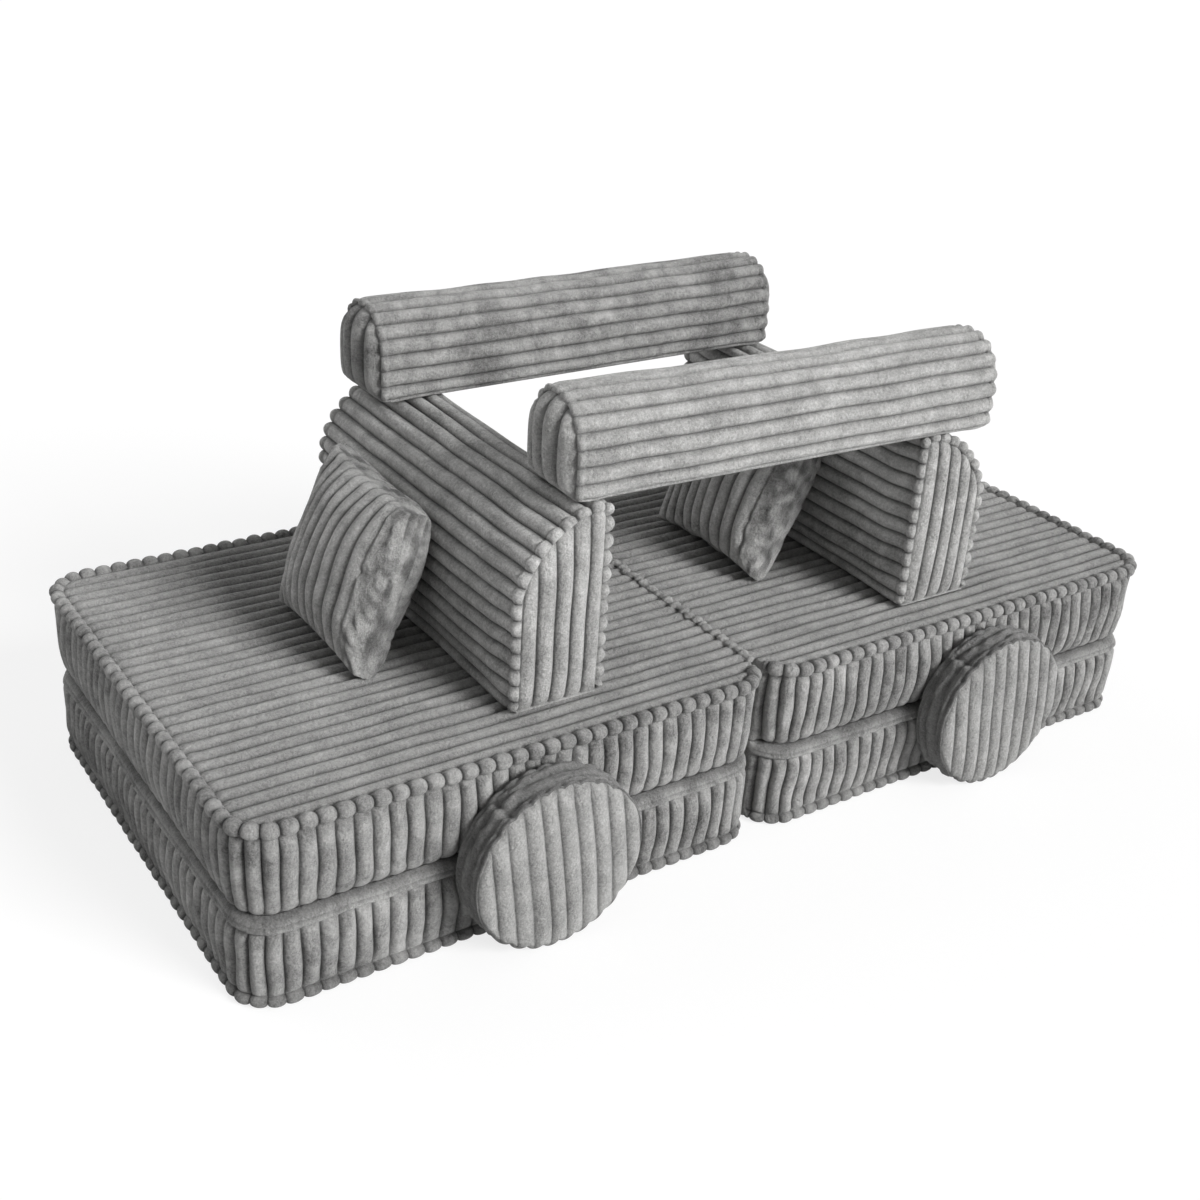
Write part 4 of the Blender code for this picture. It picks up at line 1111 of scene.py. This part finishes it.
def build_camera():
    data = bpy.data.cameras.new("camera")
    data.lens = CAMERA_LENS
    data.sensor_width = 36.0
    camera = bpy.data.objects.new("camera", data)
    camera.matrix_world = (Matrix.Translation(CAMERA_PLACE)
                           @ Matrix.Rotation(-CAMERA_YAW, 4, "Z")
                           @ Matrix.Rotation(math.pi / 2 - CAMERA_PITCH, 4, "X")
                           @ Matrix.Rotation(CAMERA_ROLL, 4, "Z"))
    bpy.context.scene.collection.objects.link(camera)
    bpy.context.scene.camera = camera


def add_sun(name, ahead, strength, angle):
    data = bpy.data.lights.new(name, "SUN")
    data.energy = strength
    data.angle = math.radians(angle)
    lamp = bpy.data.objects.new(name, data)
    lamp.rotation_mode = "QUATERNION"
    lamp.rotation_quaternion = Vector(ahead).to_track_quat("-Z", "Y")
    bpy.context.scene.collection.objects.link(lamp)


def seen_directly(tree, *rays):
    """Gives 1 where a ray is one of these kinds, such as the camera's own."""
    path = tree.nodes.new("ShaderNodeLightPath").outputs
    seen = path[rays[0]]
    for ray in rays[1:]:
        seen = calculate(tree, "MAXIMUM", seen, path[ray])
    return seen


def mix_shaders(tree, share, first, second, surface):
    mixed = add_node(tree, "ShaderNodeMixShader", 0, {0: share, 1: first, 2: second})
    tree.links.new(mixed, surface)


def build_stage():
    """A plain pale floor, and a world that lights softly and looks white."""
    bpy.ops.mesh.primitive_plane_add(size=60, location=(0, 0, -0.5 * MM))
    floor = bpy.context.object
    floor.name = "floor"
    material = bpy.data.materials.new("pale_floor")
    material.use_nodes = True
    tree = material.node_tree
    tree.nodes.remove(tree.nodes["Principled BSDF"])
    matte = add_node(tree, "ShaderNodeBsdfDiffuse", 0, {"Color": (0.60, 0.60, 0.60, 1)})
    glow = add_node(tree, "ShaderNodeEmission", 0, {"Strength": 1.28})
    seen = seen_directly(tree, "Is Camera Ray", "Is Glossy Ray")
    mix_shaders(tree, times(tree, seen, 0.62), matte, glow,
                tree.nodes["Material Output"].inputs["Surface"])
    floor.data.materials.append(material)

    world = bpy.data.worlds.new("studio")
    bpy.context.scene.world = world
    world.use_nodes = True
    tree = world.node_tree
    tree.nodes.clear()
    seen = seen_directly(tree, "Is Camera Ray", "Is Glossy Ray", "Is Transmission Ray")
    dim, white = (add_node(tree, "ShaderNodeBackground", 0, {"Color": (1, 1, 1, 1), "Strength": x})
                  for x in (0.30, 1.0))
    output = tree.nodes.new("ShaderNodeOutputWorld")
    mix_shaders(tree, seen, dim, white, output.inputs["Surface"])
    bpy.context.scene.view_settings.view_transform = "Standard"


build_camera()
build_stage()
add_sun("fill", (0.38, -0.80, -0.46), strength=1.0, angle=60)
add_sun("key", (-0.36, 0.80, -0.48), strength=3.7, angle=26)

shift = swell_of(Outline(pad_outline()), PAD_THICKNESS, insets=(6 * MM, 12 * MM), turned=True,
                 held_at=lambda p: p[:, 2] < 1 * MM, limit=6 * MM)
for name, side, flipped, body, lively, seed in (
        ("pad_lower_left", -1, True, "lower_left", 1.2, 100),
        ("pad_lower_right", 1, True, "lower_right", 1.9, 200),
        ("pad_upper_left", -1, False, "upper", 1.2, 300),
        ("pad_upper_right", 1, False, "upper", 1.9, 400)):
    build_pad(name, side, flipped, body, shift, lively, seed)

shift = swell_of(Outline(wedge_outline()), WEDGE_LENGTH, insets=(10 * MM, 10 * MM),
                 held_at=lambda p: p[:, 1] < 2 * MM, limit=6 * MM)
for name, mirror, seed in (("wedge_left", -1, 604), ("wedge_right", 1, 605)):
    low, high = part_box(name + "_cover")
    place = on_centre(low, high, low.z) @ standing(mirror)
    build_loft(name, wedge_outline(), WEDGE_LENGTH, knuckle_edge, place, shift, seed,
               WEDGE_SLOT_HALF, PLUSH_WEDGE_PAINTED_LIT, fill=0.85, tuck=0.0, pitch=RIB_PITCH,
               crown=4 * MM, dip=3 * MM, deeper=2.5 * MM)

shift = swell_of(Outline(bar_outline()), BAR_LENGTH, insets=(10 * MM, 10 * MM),
                 held_at=lambda p: p[:, 1] < 2 * MM, limit=3 * MM)
along = Matrix(((0, 0, 1, 0), (1, 0, 0, 0), (0, 1, 0, 0), (0, 0, 0, 1)))
for name, turn, plush, seed in (("roof_bar_front", BAR_FRONT_TURN, PLUSH_PAINTED_LIT, 706),
                                ("roof_bar_back", 0.0, PLUSH_PAINTED_SHADE, 707)):
    low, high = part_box(name + "_cover")
    place = on_centre(low, high, low.z) @ Matrix.Rotation(turn, 4, "Z") @ along
    build_loft(name, bar_outline(), BAR_LENGTH, rounded_edge, place, shift, seed,
               BAR_SLOT_HALF, plush, fill=0.8, tuck=5 * MM, pitch=BAR_END_PITCH,
               crown=16 * MM, dip=6 * MM, deeper=5.5 * MM)

shift = swell_of(Outline(wheel_outline()), WHEEL_THICKNESS, insets=(4 * MM, 4 * MM),
                 held_at=lambda p: np.zeros(len(p), bool), limit=5 * MM)
build_wheel("wheel_left", shift, 808)
build_wheel("wheel_right", shift, 809)

shift = pillow_swell()
build_pillow("pillow_left", PILLOW_LEFT_LEAN, shift, 900)
build_pillow("pillow_right", PILLOW_RIGHT_LEAN, shift, 950)

build_hinge_seam("hinge_seam_lower", "lower_left", proud=0.0, seed=31)
build_hinge_seam("hinge_seam_upper", "upper", proud=2.8 * MM, seed=32)

FINISHES = {"_foam": FOAM, "_filling": FIBRE, "_zip": TAPE, "_zip_slider": METAL}
for node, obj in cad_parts.items():
    for ending, finish in FINISHES.items():
        if node.endswith(ending):
            obj.data.materials.clear()
            obj.data.materials.append(finish)
